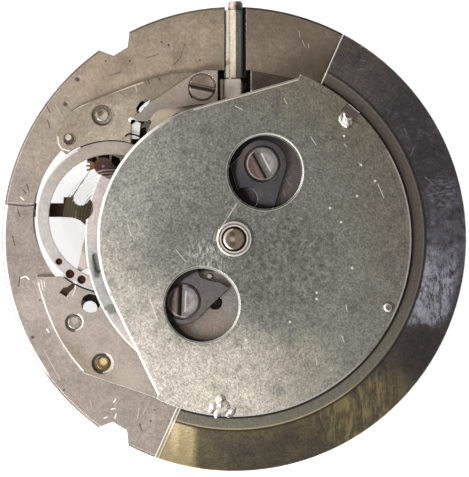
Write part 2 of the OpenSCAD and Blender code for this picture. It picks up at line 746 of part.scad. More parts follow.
module pallet_fork() {
  to_balance = angle_of(balance_at - pallet_at);
  to_escape = angle_of(escape_at - pallet_at);
  reach = pallet_from_balance - pin_orbit - impulse_r - 0.08;
  arm_w = 0.2;
  arm_r = 1.35;
  color([0.72, 0.62, 0.38]) difference() {
    union() {
      at(pallet_at, fork_z) linear_extrude(height = fork_t) {
        circle(r = 0.3);
        rotate([0, 0, to_balance]) translate([0, -arm_w / 2]) square([reach, arm_w]);
        rotate([0, 0, to_balance]) polygon([[reach - 0.4, -0.1], [reach, -0.3], [reach, 0.3], [reach - 0.4, 0.1]]);
        for (s = [-1, 1])
          rotate([0, 0, to_escape + s * 62]) translate([0, -arm_w / 2]) square([arm_r, arm_w]);
        // counterweight with short prongs
        rotate([0, 0, 178]) translate([0.2, -0.18]) square([0.55, 0.36]);
        for (s = [-1, 0, 1])
          rotate([0, 0, 178 + s * 15]) translate([0.6, -0.06]) square([0.35, 0.12]);
      }
    }
    // each slot opens at its front into the circle of the stones' tips
    stone_places() translate([-0.1, -stone_w / 2, -cut]) cube([stone_len + 0.1, stone_w, fork_t + 1]);
    at(pallet_at, fork_z - cut) cylinder(r = 0.12, h = 1);
    at(escape_at, fork_z - cut) cylinder(r = stone_tip_r, h = 1);
  }
}

module pallet_stones() {
  color([0.7, 0.12, 0.25]) stone_places() translate([0, -stone_w / 2, -0.04])
    cube([stone_len, stone_w, fork_t + 0.08]);
}

module pallet_staff() {
  color([0.75, 0.75, 0.76]) {
    rod(pallet_at, floor_z + 0.05, pallet_bridge_z - 0.04, 0.12);
    rod(pallet_at, floor_z - pivot_len, floor_z + 0.06, pivot_r);
    rod(pallet_at, pallet_bridge_z - 0.05, pallet_bridge_z + pivot_len, pivot_r);
  }
}

// Escape teeth lean forward and carry a short heel
module escape_wheel() {
  step = 360 / n_escape;
  root = escape_r * 0.78;
  color([0.8, 0.68, 0.4]) at(escape_at, escape_z) linear_extrude(height = wheel_t) difference() {
    polygon([for (i = [0 : n_escape - 1], p = [[root, -0.28], [escape_r * 0.93, 0.02], [escape_r, 0.06],
      [escape_r * 0.97, 0.2], [root, 0.05]]) polar(p[0], (i + p[1]) * step)]);
    difference() {
      circle(r = root - 0.22);
      circle(r = 0.36);
      for (i = [0 : 3])
        rotate([0, 0, 90 * i + 20]) translate([0, -0.1]) square([root, 0.2]);
    }
    circle(r = arbor_r);
  }
}

module pinion(p, n, m, z0, z1, a, bore) {
  at(p, z0) difference() {
    gear(n, m, z1 - z0, a);
    translate([0, 0, -cut]) cylinder(r = bore, h = z1 - z0 + 1);
  }
}

// An arbor with a pivot at each end, between floor z0 and bridge z1
module arbor(p, z0, z1, r) {
  rod(p, z0 + 0.04, z1 - 0.04, r);
  rod(p, z0 - pivot_len, z0 + 0.05, pivot_r);
  rod(p, z1 - 0.05, z1 + pivot_len, pivot_r);
}

angle_centre = 0;
angle_barrel = mesh_angle(barrel_dir, n_centre_pinion, angle_centre, n_barrel);
angle_third = mesh_angle(third_dir, n_centre, angle_centre, n_third_pinion);
angle_fourth = mesh_angle(fourth_dir, n_third, angle_third, n_fourth_pinion);
angle_escape = mesh_angle(escape_dir, n_fourth, angle_fourth, n_escape_pinion);

module escape_pinion() {
  color([0.7, 0.7, 0.7]) {
    arbor(escape_at, floor_z, seat_z, arbor_r);
    pinion(escape_at, n_escape_pinion, mod_fourth, fourth_z - 0.04, fourth_z + 0.25, angle_escape, 0.05);
  }
}

module fourth_wheel() {
  color([0.8, 0.68, 0.4]) at(fourth_at, fourth_z)
    spoked_wheel(n_fourth, mod_fourth, wheel_t, angle_fourth, 4, 0.45, arbor_r);
}

module fourth_pinion() {
  color([0.7, 0.7, 0.7]) {
    arbor(fourth_at, floor_z, seat_z, arbor_r);
    pinion(fourth_at, n_fourth_pinion, mod_third, third_z - 0.05, third_z + wheel_t + 0.05, angle_fourth, 0.05);
  }
}

module third_wheel() {
  color([0.8, 0.68, 0.4]) at(third_at, third_z)
    spoked_wheel(n_third, mod_third, wheel_t, angle_third, 4, 0.5, arbor_r);
}

module third_pinion() {
  color([0.7, 0.7, 0.7]) {
    arbor(third_at, third_z - air, seat_z, arbor_r);
    pinion(third_at, n_third_pinion, mod_centre, third_z + wheel_t + 0.02, crown_z - 0.03, angle_third, 0.05);
  }
}

centre_arbor_r = arbor_r + 0.1;
module centre_wheel() {
  color([0.8, 0.68, 0.4]) at(centre_at, centre_z)
    spoked_wheel(n_centre, mod_centre, wheel_t, angle_centre, 5, 0.6, centre_arbor_r);
}

module centre_pinion() {
  color([0.7, 0.7, 0.7]) {
    rod(centre_at, -hour_len, seat_z - 0.04, centre_arbor_r);
    rod(centre_at, seat_z - 0.05, bridge_top - 0.05, pivot_r + 0.05);
    pinion(centre_at, n_centre_pinion, mod_barrel, floor_z + 0.03, floor_z + 0.5, angle_centre, 0.1);
  }
}

module cannon_pinion() {
  color([0.72, 0.72, 0.72]) difference() {
    union() {
      rod(centre_at, -cannon_len, motion_z + motion_t + 0.02, cannon_r);
      at(centre_at, motion_z + motion_t) gear(n_cannon, mod_motion, dial_recess - 0.05 - motion_z - motion_t, 0);
    }
    rod(centre_at, -hour_len - 0.01, dial_recess + 1, centre_arbor_r);
  }
}

// Barrel
drum_wall = 0.25;
module barrel_drum() {
  body_r = pitch_r(n_barrel, mod_barrel) - 1.2 * mod_barrel;
  color([0.8, 0.7, 0.45]) at(barrel_at, drum_z) difference() {
    union() {
      gear(n_barrel, mod_barrel, 0.22, angle_barrel);
      cylinder(r = body_r, h = drum_t - lid_t, $fn = smooth);
    }
    translate([0, 0, 0.12]) cylinder(r = body_r - drum_wall, h = 2, $fn = smooth);
    translate([0, 0, -cut]) cylinder(r = drum_hole_r, h = 2);
  }
}

lid_t = 0.1;
drum_hole_r = 0.5;
core_r = 0.46;
module barrel_lid() {
  body_r = pitch_r(n_barrel, mod_barrel) - 1.2 * mod_barrel;
  color([0.8, 0.7, 0.45]) tube(barrel_at, drum_z + drum_t - lid_t, drum_z + drum_t, body_r - 0.05, drum_hole_r);
}

spring_turns = 10;
spring_core_r = 0.95;
module mainspring() {
  outer = pitch_r(n_barrel, mod_barrel) - 1.2 * mod_barrel - drum_wall - 0.06;
  inner = spring_core_r + 0.07;
  strip = 0.09;
  pitch = (outer - inner) / spring_turns;
  color([0.35, 0.4, 0.5]) at(barrel_at, drum_z + 0.15) linear_extrude(height = drum_t - lid_t - 0.18)
    polygon(concat(spiral_points(inner, pitch, spring_turns, 0, -strip / 2),
                   back(spiral_points(inner, pitch, spring_turns, 0, strip / 2))));
}

arbor_square = 0.42;
module barrel_arbor() {
  color([0.7, 0.7, 0.7]) {
    rod(barrel_at, floor_z - 0.45, drum_z + drum_t + 0.04, core_r);
    rod(barrel_at, drum_z + 0.16, drum_z + drum_t - lid_t - 0.04, spring_core_r);
    rod(barrel_at, drum_z + drum_t, bridge_top + 0.02, 0.86);
    at(barrel_at, bridge_top) translate([-arbor_square, -arbor_square, 0])
      cube([2 * arbor_square, 2 * arbor_square, 0.4]);
  }
}

angle_ratchet = 2;
module ratchet_wheel() {
  color([0.72, 0.72, 0.7]) at(barrel_at, ratchet_z) difference() {
    gear(n_ratchet, mod_wind, ratchet_t, angle_ratchet);
    translate([-arbor_square, -arbor_square, -cut]) cube([2 * arbor_square, 2 * arbor_square, 1]);
  }
}

click_dir = -78;
click_post_r = 0.22;
click_gap = 0.12;
click_at = barrel_at + polar(pitch_r(n_ratchet, mod_wind) + 0.85, click_dir);
module click() {
  tip_r = pitch_r(n_ratchet, mod_wind) + mod_wind + click_gap;
  tip = barrel_at + polar(tip_r, click_dir + 14);
  side = barrel_at + polar(tip_r + 0.3, click_dir + 12);
  color([0.7, 0.7, 0.72]) {
    at([0, 0], ratchet_z) linear_extrude(height = ratchet_t) {
      translate(click_at) circle(r = 0.5);
      polygon([click_at + polar(0.48, click_dir + 180), tip, side, click_at + polar(0.48, click_dir)]);
    }
    rod(click_at, bridge_top - 0.46, ratchet_z + ratchet_t - 0.02, click_post_r - 0.04);
  }
}

module click_spring() {
  color([0.4, 0.45, 0.6]) at([0, 0], bridge_top) linear_extrude(height = 0.16) difference() {
    translate(click_at) circle(r = 0.85);
    translate(click_at) circle(r = 0.7);
    translate(click_at) rotate([0, 0, click_dir + 125]) translate([0, -2]) square([3, 4]);
  }
}

// Winding and setting
pull = 0.7;
pinion_y0 = 7.2;
flange_len = 0.8;
pinion_y1 = 8.85;
clutch_y0 = 6.15;
clutch_len = 0.9;
stem_end = 5.05;
square_r = 0.17;
groove_y = 8.93;
groove_w = 0.26;

module along_stem(y, z = stem_z) {
  translate([stem_x, y, z]) rotate([-90, 0, 0]) children();
}

angle_winding = 13;
module winding_pinion() {
  color([0.85, 0.83, 0.78]) along_stem(pinion_y0) difference() {
    union() {
      rotate([0, 0, angle_winding]) linear_extrude(height = flange_len)
        polygon(tooth_points(n_winding, 2 * flange_tooth_r / (n_winding + 1.7)));
      translate([0, 0, flange_len - cut])
        cylinder(r = winding_r - 0.02, h = pinion_y1 - pinion_y0 - flange_len - 0.08 + 2 * cut);
      translate([0, 0, pinion_y1 - pinion_y0 - 0.08]) cylinder(r1 = winding_r - 0.02, r2 = winding_r - 0.12, h = 0.08);
    }
    translate([0, 0, -cut]) cylinder(r = square_r * 1.42 + 0.03, h = 5);
  }
}

module winding_stem() {
  color([0.86, 0.8, 0.66]) difference() {
    union() {
      along_stem(pinion_y1 + 0.02) cylinder(r = stem_r, h = stem_tip - pinion_y1 - 0.02 - 0.12);
      along_stem(stem_tip - 0.12 - cut) cylinder(r1 = stem_r, r2 = stem_r - 0.1, h = 0.12);
      along_stem(pinion_y0 - 0.02) cylinder(r = square_r * 1.42, h = pinion_y1 - pinion_y0 + 0.2);
      translate([stem_x - square_r, stem_end + 0.25, stem_z - square_r])
        cube([2 * square_r, pinion_y0 - stem_end - 0.2, 2 * square_r]);
      along_stem(stem_end) cylinder(r = square_r - 0.02, h = 0.3);
    }
    along_stem(groove_y) difference() {
      cylinder(r = 1, h = groove_w);
      translate([0, 0, -cut]) cylinder(r = 0.25, h = 1);
    }
  }
}

module sliding_clutch() {
  groove_at = 0.3;
  groove = 0.32;
  neck = 0.13;
  color([0.75, 0.74, 0.72]) along_stem(clutch_y0) difference() {
    union() {
      cylinder(r = clutch_r, h = groove_at);
      cylinder(r = clutch_r - neck, h = clutch_len);
      translate([0, 0, groove_at + groove]) cylinder(r = clutch_r, h = clutch_len - groove_at - groove);
    }
    translate([-square_r - 0.03, -square_r - 0.03, -cut])
      cube([2 * square_r + 0.06, 2 * square_r + 0.06, clutch_len + 1]);
  }
}

lever_z = 0.06;
lever_t = 0.18;
lever_arm = 1.6;
lever_half = asin(pull / 2 / lever_arm);
lever_pin_at = [stem_x, groove_y + groove_w / 2];
lever_at = lever_pin_at + polar(lever_arm, lever_half);
module setting_lever() {
  color([0.7, 0.69, 0.66]) {
    at([0, 0], lever_z) linear_extrude(height = lever_t) difference() {
      hull() {
        translate(lever_at) circle(r = 0.5);
        translate(lever_pin_at) circle(r = 0.2);
      }
      translate(lever_at) circle(r = lever_post_r + post_air);
    }
    rod(lever_pin_at, lever_z, stem_z - 0.28, 0.08);
  }
}

yoke_at = [-3.1, 6.37];
finger_at = [stem_x - 0.42, clutch_y0 + 0.46];
module yoke() {
  color([0.7, 0.69, 0.66]) {
    at([0, 0], lever_z) linear_extrude(height = lever_t) difference() {
      union() {
        hull() {
          translate(yoke_at) circle(r = 0.5);
          translate([-1.6, 6.9]) circle(r = 0.25);
        }
        hull() {
          translate([-1.6, 6.9]) circle(r = 0.25);
          translate(finger_at) circle(r = 0.14);
        }
      }
      translate(yoke_at) circle(r = lever_post_r + post_air);
    }
    rod(finger_at, lever_z, stem_z - 0.2, 0.08);
  }
}

module yoke_spring() {
  color([0.4, 0.45, 0.6]) at(yoke_at, lever_z + 0.02) rotate([0, 0, -22]) linear_extrude(height = keyless_depth - lever_z - 0.02)
    difference() {
      circle(r = 1.02);
      circle(r = 0.9);
      translate([0, -2]) square([2, 4]);
    }
}

module setting_wheel() {
  color([0.8, 0.68, 0.4]) {
    at(setting_at, upper_motion_z) difference() {
      gear(n_setting, mod_motion, 0.14, mesh_angle(setting_dir, n_minute, angle_minute, n_setting));
      translate([0, 0, -cut]) cylinder(r = setting_post_r + post_air, h = 1);
    }
  }
}

angle_minute = mesh_angle(minute_dir, n_cannon, 0, n_minute);
module minute_wheel() {
  color([0.8, 0.68, 0.4]) at(minute_at, 0) {
    difference() {
      union() {
        translate([0, 0, upper_motion_z]) gear(n_minute, mod_motion, 0.14, angle_minute);
        translate([0, 0, motion_z]) gear(n_minute_pinion, mod_motion, upper_motion_z - motion_z + cut, angle_minute);
      }
      translate([0, 0, -cut]) cylinder(r = minute_post_r + post_air, h = 1);
    }
  }
}

module hour_wheel() {
  color([0.8, 0.68, 0.4]) difference() {
    union() {
      at(centre_at, motion_z)
        gear(n_hour, mod_motion, 0.13, mesh_angle(minute_dir + 180, n_minute_pinion, angle_minute, n_hour));
      rod(centre_at, -hour_len, motion_z + cut, hour_r);
    }
    rod(centre_at, -2, 2, cannon_r + 0.04);
  }
}

// Spring plate beside the stem
module setting_spring_plate() {
  color([0.7, 0.68, 0.64]) difference() {
    at([0, 0], bridge_top) linear_extrude(height = spring_plate_t) difference() {
      polygon([[-0.92, 9.44], [-1.6, 9.46], [-2.31, 9.24], [-3.96, 8.1], [-4.65, 7.67], [-5.25, 7.11],
        [-5.67, 6.8], [-5.49, 6.61], [-4.82, 6.6], [-4.59, 6.94], [-4.31, 7.2], [-1.96, 7.56], [-0.92, 7.6]]);
      translate(setting_screw_at) circle(r = setting_shank_r);
      translate([-2.55, 8.2]) rotate([0, 0, -60]) square([0.4, 0.14]);
    }
    rod(setting_screw_at, bridge_top + setting_sink, bridge_top + 1, setting_screw_r + 0.03);
  }
}

module setting_plate_screw() {
  color([0.5, 0.45, 0.43])
    screw(setting_screw_at, bridge_top + setting_sink, setting_screw_r, 0.2, setting_shank_r,
          setting_sink + bridge_t + 0.8, 0.2, 168);
}

// Bright block and thin wire in the window beside the spring plate
module window_post() {
  color([0.93, 0.92, 0.9]) {
    at([0, 0], seat_z) linear_extrude(height = 0.5)
      polygon([[window_x, 5.6], [window_x, 6.4], [-5.45, 6.6], [-5.22, 6.5], [-5.3, 5.6]]);
  }
}

// Automatic work
module auto_outline2d() {
  hidden_r = 7.45;
  difference() {
    circle(r = auto_r, $fn = smooth);
    difference() {
      polygon([[0, 0], polar(12, 70), polar(17, 112), polar(12, 154.3)]);
      circle(r = hidden_r, $fn = smooth);
    }
    translate([-8.6, 1.75]) circle(r = 0.73);
  }
  translate(auto_posts[0]) circle(r = auto_post_r);
}

module automatic_plate() {
  color([0.63, 0.58, 0.56]) difference() {
    union() {
      at(centre_at, auto_z) linear_extrude(height = auto_t) auto_outline2d();
      rod(auto_posts[0], bridge_top, auto_z + cut, auto_post_r);
      rod(auto_posts[1], seat_z, auto_z + cut, auto_post_r);
      rod(auto_posts[2], bridge_top, auto_z + cut, auto_post_r);
    }
    for (p = auto_posts) {
      rod(p, seat_z - cut, auto_top + cut, auto_shank_r);
      rod(p, auto_top - 0.22, auto_top + cut, auto_screw_r + 0.05);
    }
    // dark slots that show at the left edge
    at([0, 0], auto_z - cut) linear_extrude(height = 2) hull() {
      translate([-7.78, -0.95]) circle(r = 0.16);
      translate([-7.6, -1.75]) circle(r = 0.16);
    }
    rod([-1.05, -3.56], auto_z - cut, auto_top + cut, 0.4);
    rod(reverse_at, auto_z - cut, auto_top + cut, reverse_arbor_r + 0.05);
    rod(reduce_at, auto_z - cut, auto_top + cut, 0.3);
    rod(barrel_at, auto_z - cut, auto_top + cut, 0.75);
    for (p = rotor_screw_places)
      rod(p, auto_z - cut, auto_top + cut, rotor_shank_r);
    rod(centre_at, auto_z - cut, auto_top + cut, post_r);
  }
}

module automatic_screws() {
  color([0.5, 0.48, 0.47]) for (i = [0 : 2])
    screw(auto_posts[i], auto_top - 0.22, auto_screw_r, 0.21, auto_shank_r,
          i == 1 ? auto_top - seat_z + 0.6 : auto_top - bridge_top + 0.3, 0.15, 40 * i);
}

angle_rotor_pinion = 5;
angle_reverse = mesh_angle(reverse_dir, n_rotor_pinion, angle_rotor_pinion, n_reverse);
reduce_dir = angle_of(reduce_at - reverse_at);
angle_reduce = mesh_angle(reduce_dir, n_reverse_pinion, angle_reverse, n_reduce);
low_wheel_z = auto_top + 0.08;

reverse_arbor_r = 0.2;
module reversing_wheel() {
  color([0.8, 0.68, 0.4]) at(reverse_at, reverse_z) difference() {
    gear(n_reverse, mod_auto, 0.2, angle_reverse);
    translate([0, 0, -cut]) cylinder(r = reverse_arbor_r + 0.04, h = 1);
  }
}

module reversing_pinion() {
  color([0.72, 0.72, 0.7]) {
    at(reverse_at, low_wheel_z) gear(n_reverse_pinion, mod_auto_low, reverse_z - low_wheel_z - 0.04, angle_reverse);
    rod(reverse_at, auto_z + 0.05, reverse_z + 0.22, reverse_arbor_r);
  }
}

module reduction_wheel() {
  ratchet_line = angle_of(reduce_at - barrel_at);
  color([0.8, 0.68, 0.4]) {
    at(reduce_at, low_wheel_z) gear(n_reduce, mod_auto_low, 0.15, angle_reduce);
    rod(reduce_at, ratchet_z + ratchet_t, low_wheel_z + cut, 0.25);
    at(reduce_at, ratchet_z - 0.02)
      gear(n_reduce_pinion, mod_wind, ratchet_t + 0.06, mesh_angle(ratchet_line, n_ratchet, angle_ratchet, n_reduce_pinion));
    rod(reduce_at, bridge_top - 0.25, ratchet_z, pivot_r);
  }
}

rotor_shank_r = 0.4;
module rotor_bridge() {
  color([0.36, 0.34, 0.36]) difference() {
    at([0, 0], auto_top) linear_extrude(height = rotor_bridge_t) difference() {
      union() {
        translate(rotor_screw_places[0]) circle(r = 1.34);
        translate(rotor_screw_places[1]) circle(r = 1.29);
        circle(r = 1.5);
        polygon([[0.93, 5.26], [-0.2, 4.13], [-0.11, 3.75], [0.22, 2.63], [-0.67, 1.34], [-1.62, 0.39],
          [-2.8, -1.06], [-3.98, -2.86], [-2.15, -4.55], [-0.25, -2.74], [-0.77, -2.44], [-1.4, -2.31],
          [-1.88, -2.13], [-1.99, -1.85], [-1.99, -1.51], [-0.67, -1.06], [0.9, -0.73], [1.9, 0.39],
          [2.3, 1.9], [2.91, 3.98]]);
      }
      translate([0.67, 2.24]) circle(r = 0.65);
      circle(r = post_r);
      for (p = rotor_screw_places)
        translate(p) circle(r = rotor_shank_r);
    }
    for (p = rotor_screw_places)
      rod(p, rotor_bridge_top - 0.2, rotor_bridge_top + cut, rotor_bridge_screw_r + 0.1);
  }
}

module rotor_bridge_screws() {
  color([0.55, 0.5, 0.48]) for (i = [0 : 1])
    screw(rotor_screw_places[i], rotor_bridge_top - 0.2, rotor_bridge_screw_r, 0.42, rotor_shank_r,
          rotor_bridge_t + auto_t - 0.25, 0.4, [116, 88][i]);
}

shoulder_z = 5.3;
module rotor_post() {
  color([0.62, 0.62, 0.62]) difference() {
    rod(centre_at, auto_z, shoulder_z + 0.03, post_r);
    rod(centre_at, shoulder_z - 0.6, shoulder_z + 1, 0.2);
  }
}

module rotor_screw() {
  color([0.7, 0.66, 0.62])
    screw(centre_at, shoulder_z + 0.03, 0.62, 0.28, 0.2, 0.55, 0.2, 140);
}

tube_top = 5.75;
module rotor_tube() {
  bore = post_r + post_play;
  tube_z = rotor_bridge_top + 0.08;
  color([0.85, 0.82, 0.76]) difference() {
    union() {
      at(centre_at, tube_z) gear(n_rotor_pinion, mod_auto, rotor_z - tube_z, angle_rotor_pinion);
      rod(centre_at, tube_z, rotor_z + cut, post_r + 0.18);
      rod(centre_at, rotor_z, rotor_top, tube_r - 0.1);
      rod(centre_at, rotor_top - 0.05, tube_top - 0.06, tube_r);
      at(centre_at, tube_top - 0.06 - cut) cylinder(r1 = tube_r, r2 = tube_r - 0.08, h = 0.06);
    }
    rod(centre_at, tube_z - cut, tube_top + 1, bore);
    rod(centre_at, shoulder_z, tube_top + 1, 0.71);
  }
}

rivet_at = weight_in_r + 0.56;
rivet_dirs = [71.2, 0.1, -70.1];
rivet_shank_r = 0.25;
module in_rotor() {
  rotate([0, 0, rotor_angle]) children();
}

module rotor_plate() {
  shoulder_x = -0.34;
  shoulder_y = 9.74;
  back_dir = 131;
  back_point = polar(rotor_back_r, back_dir);
  rim_chamfer = 0.12;
  color([0.6, 0.6, 0.57]) difference() {
    in_rotor() translate([0, 0, rotor_z]) linear_extrude(height = rotor_t) {
      circle(r = rotor_back_r, $fn = smooth);
      polygon([[shoulder_x, shoulder_y], back_point, [back_point[0], -back_point[1]], [shoulder_x, -shoulder_y]]);
      intersection() {
        circle(r = rotor_r, $fn = smooth);
        translate([shoulder_x, -rotor_r - 1]) square([rotor_r + 2, 2 * rotor_r + 2]);
      }
    }
    for (a = [65, 244]) {
      rod(polar(access_at, a), rotor_z - cut, rotor_top + cut, access_r);
      at(polar(access_at, a), rotor_top - rim_chamfer)
        cylinder(r1 = access_r, r2 = access_r + 1.2 * rim_chamfer, h = rim_chamfer * 1.2);
    }
    rod(centre_at, rotor_z - cut, rotor_top + cut, tube_r - 0.1);
    rod(centre_at, rotor_top - 0.05, rotor_top + cut, 1.2);
    for (a = rivet_dirs)
      rod(polar(rivet_at, a + rotor_angle), rotor_z - cut, rotor_top + cut, rivet_shank_r);
  }
}

module rotor_weight() {
  end_x = 0.9;
  band_r = 10.7;
  edge_z = 4.15;
  foot = 0.3;
  color([0.4, 0.39, 0.38]) difference() {
    in_rotor() intersection() {
      rotate_extrude($fn = smooth) polygon([[weight_in_r, weight_z], [weight_r - foot, weight_z],
        [weight_r, weight_z + foot], [weight_r, edge_z], [weight_r - 0.06, edge_z + 0.06],
        [band_r, rotor_z], [weight_in_r, rotor_z]]);
      translate([end_x, -weight_r - 1, 0]) cube([weight_r + 2, 2 * weight_r + 2, 10]);
    }
    for (a = rivet_dirs)
      rod(polar(rivet_at, a + rotor_angle), rotor_z - 1, rotor_z + cut, rivet_shank_r);
  }
}

module rotor_rivets() {
  head_r = [0.42, 0.36, 0.5];
  head_t = 0.12;
  color([0.75, 0.74, 0.72]) for (i = [0 : 2]) {
    p = polar(rivet_at, rivet_dirs[i] + rotor_angle);
    rod(p, rotor_z - 0.95, rotor_top + cut, rivet_shank_r);
    at(p, rotor_top) cylinder(r1 = head_r[i], r2 = head_r[i] * 0.6, h = head_t);
  }
}

crown_axle_r = 0.56;
angle_crown = mesh_angle(angle_of(crown_at - barrel_at), n_ratchet, angle_ratchet, n_crown);
module crown_wheel() {
  color([0.72, 0.72, 0.7]) {
    at(crown_at, ratchet_z) gear(n_crown, mod_wind, ratchet_t, angle_crown);
    rod(crown_at, crown_z + cut, ratchet_z + cut, crown_axle_r);
    at(crown_at, crown_z) gear(n_crown_low, mod_wind, 0.14, 0);
  }
}

mainplate();
upper_bridge();
lower_bridge();
bridge_pins();
bridge_screws();
jewels();
balance_cock();
balance_cock_screw();
hairspring();
hairspring_stud();
balance_wheel();
balance_staff();
impulse_roller();
pallet_bridge();
pallet_fork();
pallet_stones();
pallet_staff();
escape_wheel();
escape_pinion();
fourth_wheel();
fourth_pinion();
third_wheel();
third_pinion();
centre_wheel();
centre_pinion();
cannon_pinion();
barrel_drum();
barrel_lid();
mainspring();
barrel_arbor();
ratchet_wheel();
click();
click_spring();
crown_wheel();
winding_pinion();
winding_stem();
sliding_clutch();
setting_lever();
yoke();
yoke_spring();
setting_wheel();
minute_wheel();
hour_wheel();
setting_spring_plate();
setting_plate_screw();
window_post();
automatic_plate();
automatic_screws();
reversing_wheel();
reversing_pinion();
reduction_wheel();
rotor_bridge();
rotor_bridge_screws();
rotor_post();
rotor_plate();
rotor_weight();
rotor_rivets();
rotor_tube();
rotor_screw();
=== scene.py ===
import math

import bmesh
import bpy
from mathutils import Matrix, Vector, noise


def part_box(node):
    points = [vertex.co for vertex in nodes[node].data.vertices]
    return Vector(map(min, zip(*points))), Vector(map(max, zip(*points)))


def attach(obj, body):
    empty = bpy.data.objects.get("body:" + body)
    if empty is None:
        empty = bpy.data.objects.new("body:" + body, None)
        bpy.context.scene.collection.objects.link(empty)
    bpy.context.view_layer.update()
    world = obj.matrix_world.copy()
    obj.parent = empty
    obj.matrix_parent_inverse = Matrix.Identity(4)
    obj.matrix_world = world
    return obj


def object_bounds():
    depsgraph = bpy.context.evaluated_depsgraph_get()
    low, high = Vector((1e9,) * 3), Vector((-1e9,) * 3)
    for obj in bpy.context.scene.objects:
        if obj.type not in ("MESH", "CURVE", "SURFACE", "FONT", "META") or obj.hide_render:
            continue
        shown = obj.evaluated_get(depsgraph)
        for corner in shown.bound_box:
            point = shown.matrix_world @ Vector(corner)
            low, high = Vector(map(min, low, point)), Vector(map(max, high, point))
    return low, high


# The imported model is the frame: every piece below is in metres, with the dial side down
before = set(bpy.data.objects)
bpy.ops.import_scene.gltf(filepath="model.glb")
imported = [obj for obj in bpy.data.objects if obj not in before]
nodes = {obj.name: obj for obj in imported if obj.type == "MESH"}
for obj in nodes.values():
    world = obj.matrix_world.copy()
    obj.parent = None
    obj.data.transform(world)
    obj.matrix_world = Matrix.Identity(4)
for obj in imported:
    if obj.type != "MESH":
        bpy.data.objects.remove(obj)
cad_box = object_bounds()

MM = 0.001
# The photograph's size in pixels, one pixel in mm, and the pixel that shows the movement's centre
PHOTO = (469, 477)
PIXEL = 0.056
CENTRE_PIXEL = (234.0, 239.0)
# Half the width of a soft border between two finishes, in mm
SOFT = 0.03


def at_pixel(px, py):
    """The place in mm under a pixel of the photograph."""
    return ((px - CENTRE_PIXEL[0]) * PIXEL, (CENTRE_PIXEL[1] - py) * PIXEL)


# Places in mm: the balance's axis, the two round openings of the rotor plate and two screws
BALANCE = (-6.86, 1.23)
ACCESS = [at_pixel(266.5, 170.5), at_pixel(202.5, 305.0)]
ACCESS_R = 2.05
PLATE_SCREW = at_pixel(203, 88)
NOSE_SCREW = at_pixel(69.5, 139)
# The direction in degrees in which the rotor weight points
ROTOR_ANGLE = -24
# Where the light comes from whose highlight is painted on rounded edges, and the colour of that painted
# highlight
LIT_SIDE = (-0.75, -0.3, 0.6)
EDGE_HIGHLIGHT = (250, 247, 240)


def linear(colour):
    """A colour written as 0 to 255 display values, as a shader takes it."""
    out = []
    for c in colour:
        c = c / 255.0
        out.append(c / 12.92 if c <= 0.04045 else ((c + 0.055) / 1.055) ** 2.4)
    return (*out, 1.0)


def connect(tree, socket, value):
    """Links a socket into an input, or sets a number or colour on it."""
    if isinstance(value, bpy.types.NodeSocket):
        tree.links.new(value, socket)
    else:
        socket.default_value = value


def math_node(tree, operation, *values):
    n = tree.nodes.new("ShaderNodeMath")
    n.operation = operation
    for socket, value in zip(n.inputs, values):
        connect(tree, socket, value)
    return n.outputs[0]


# Materials

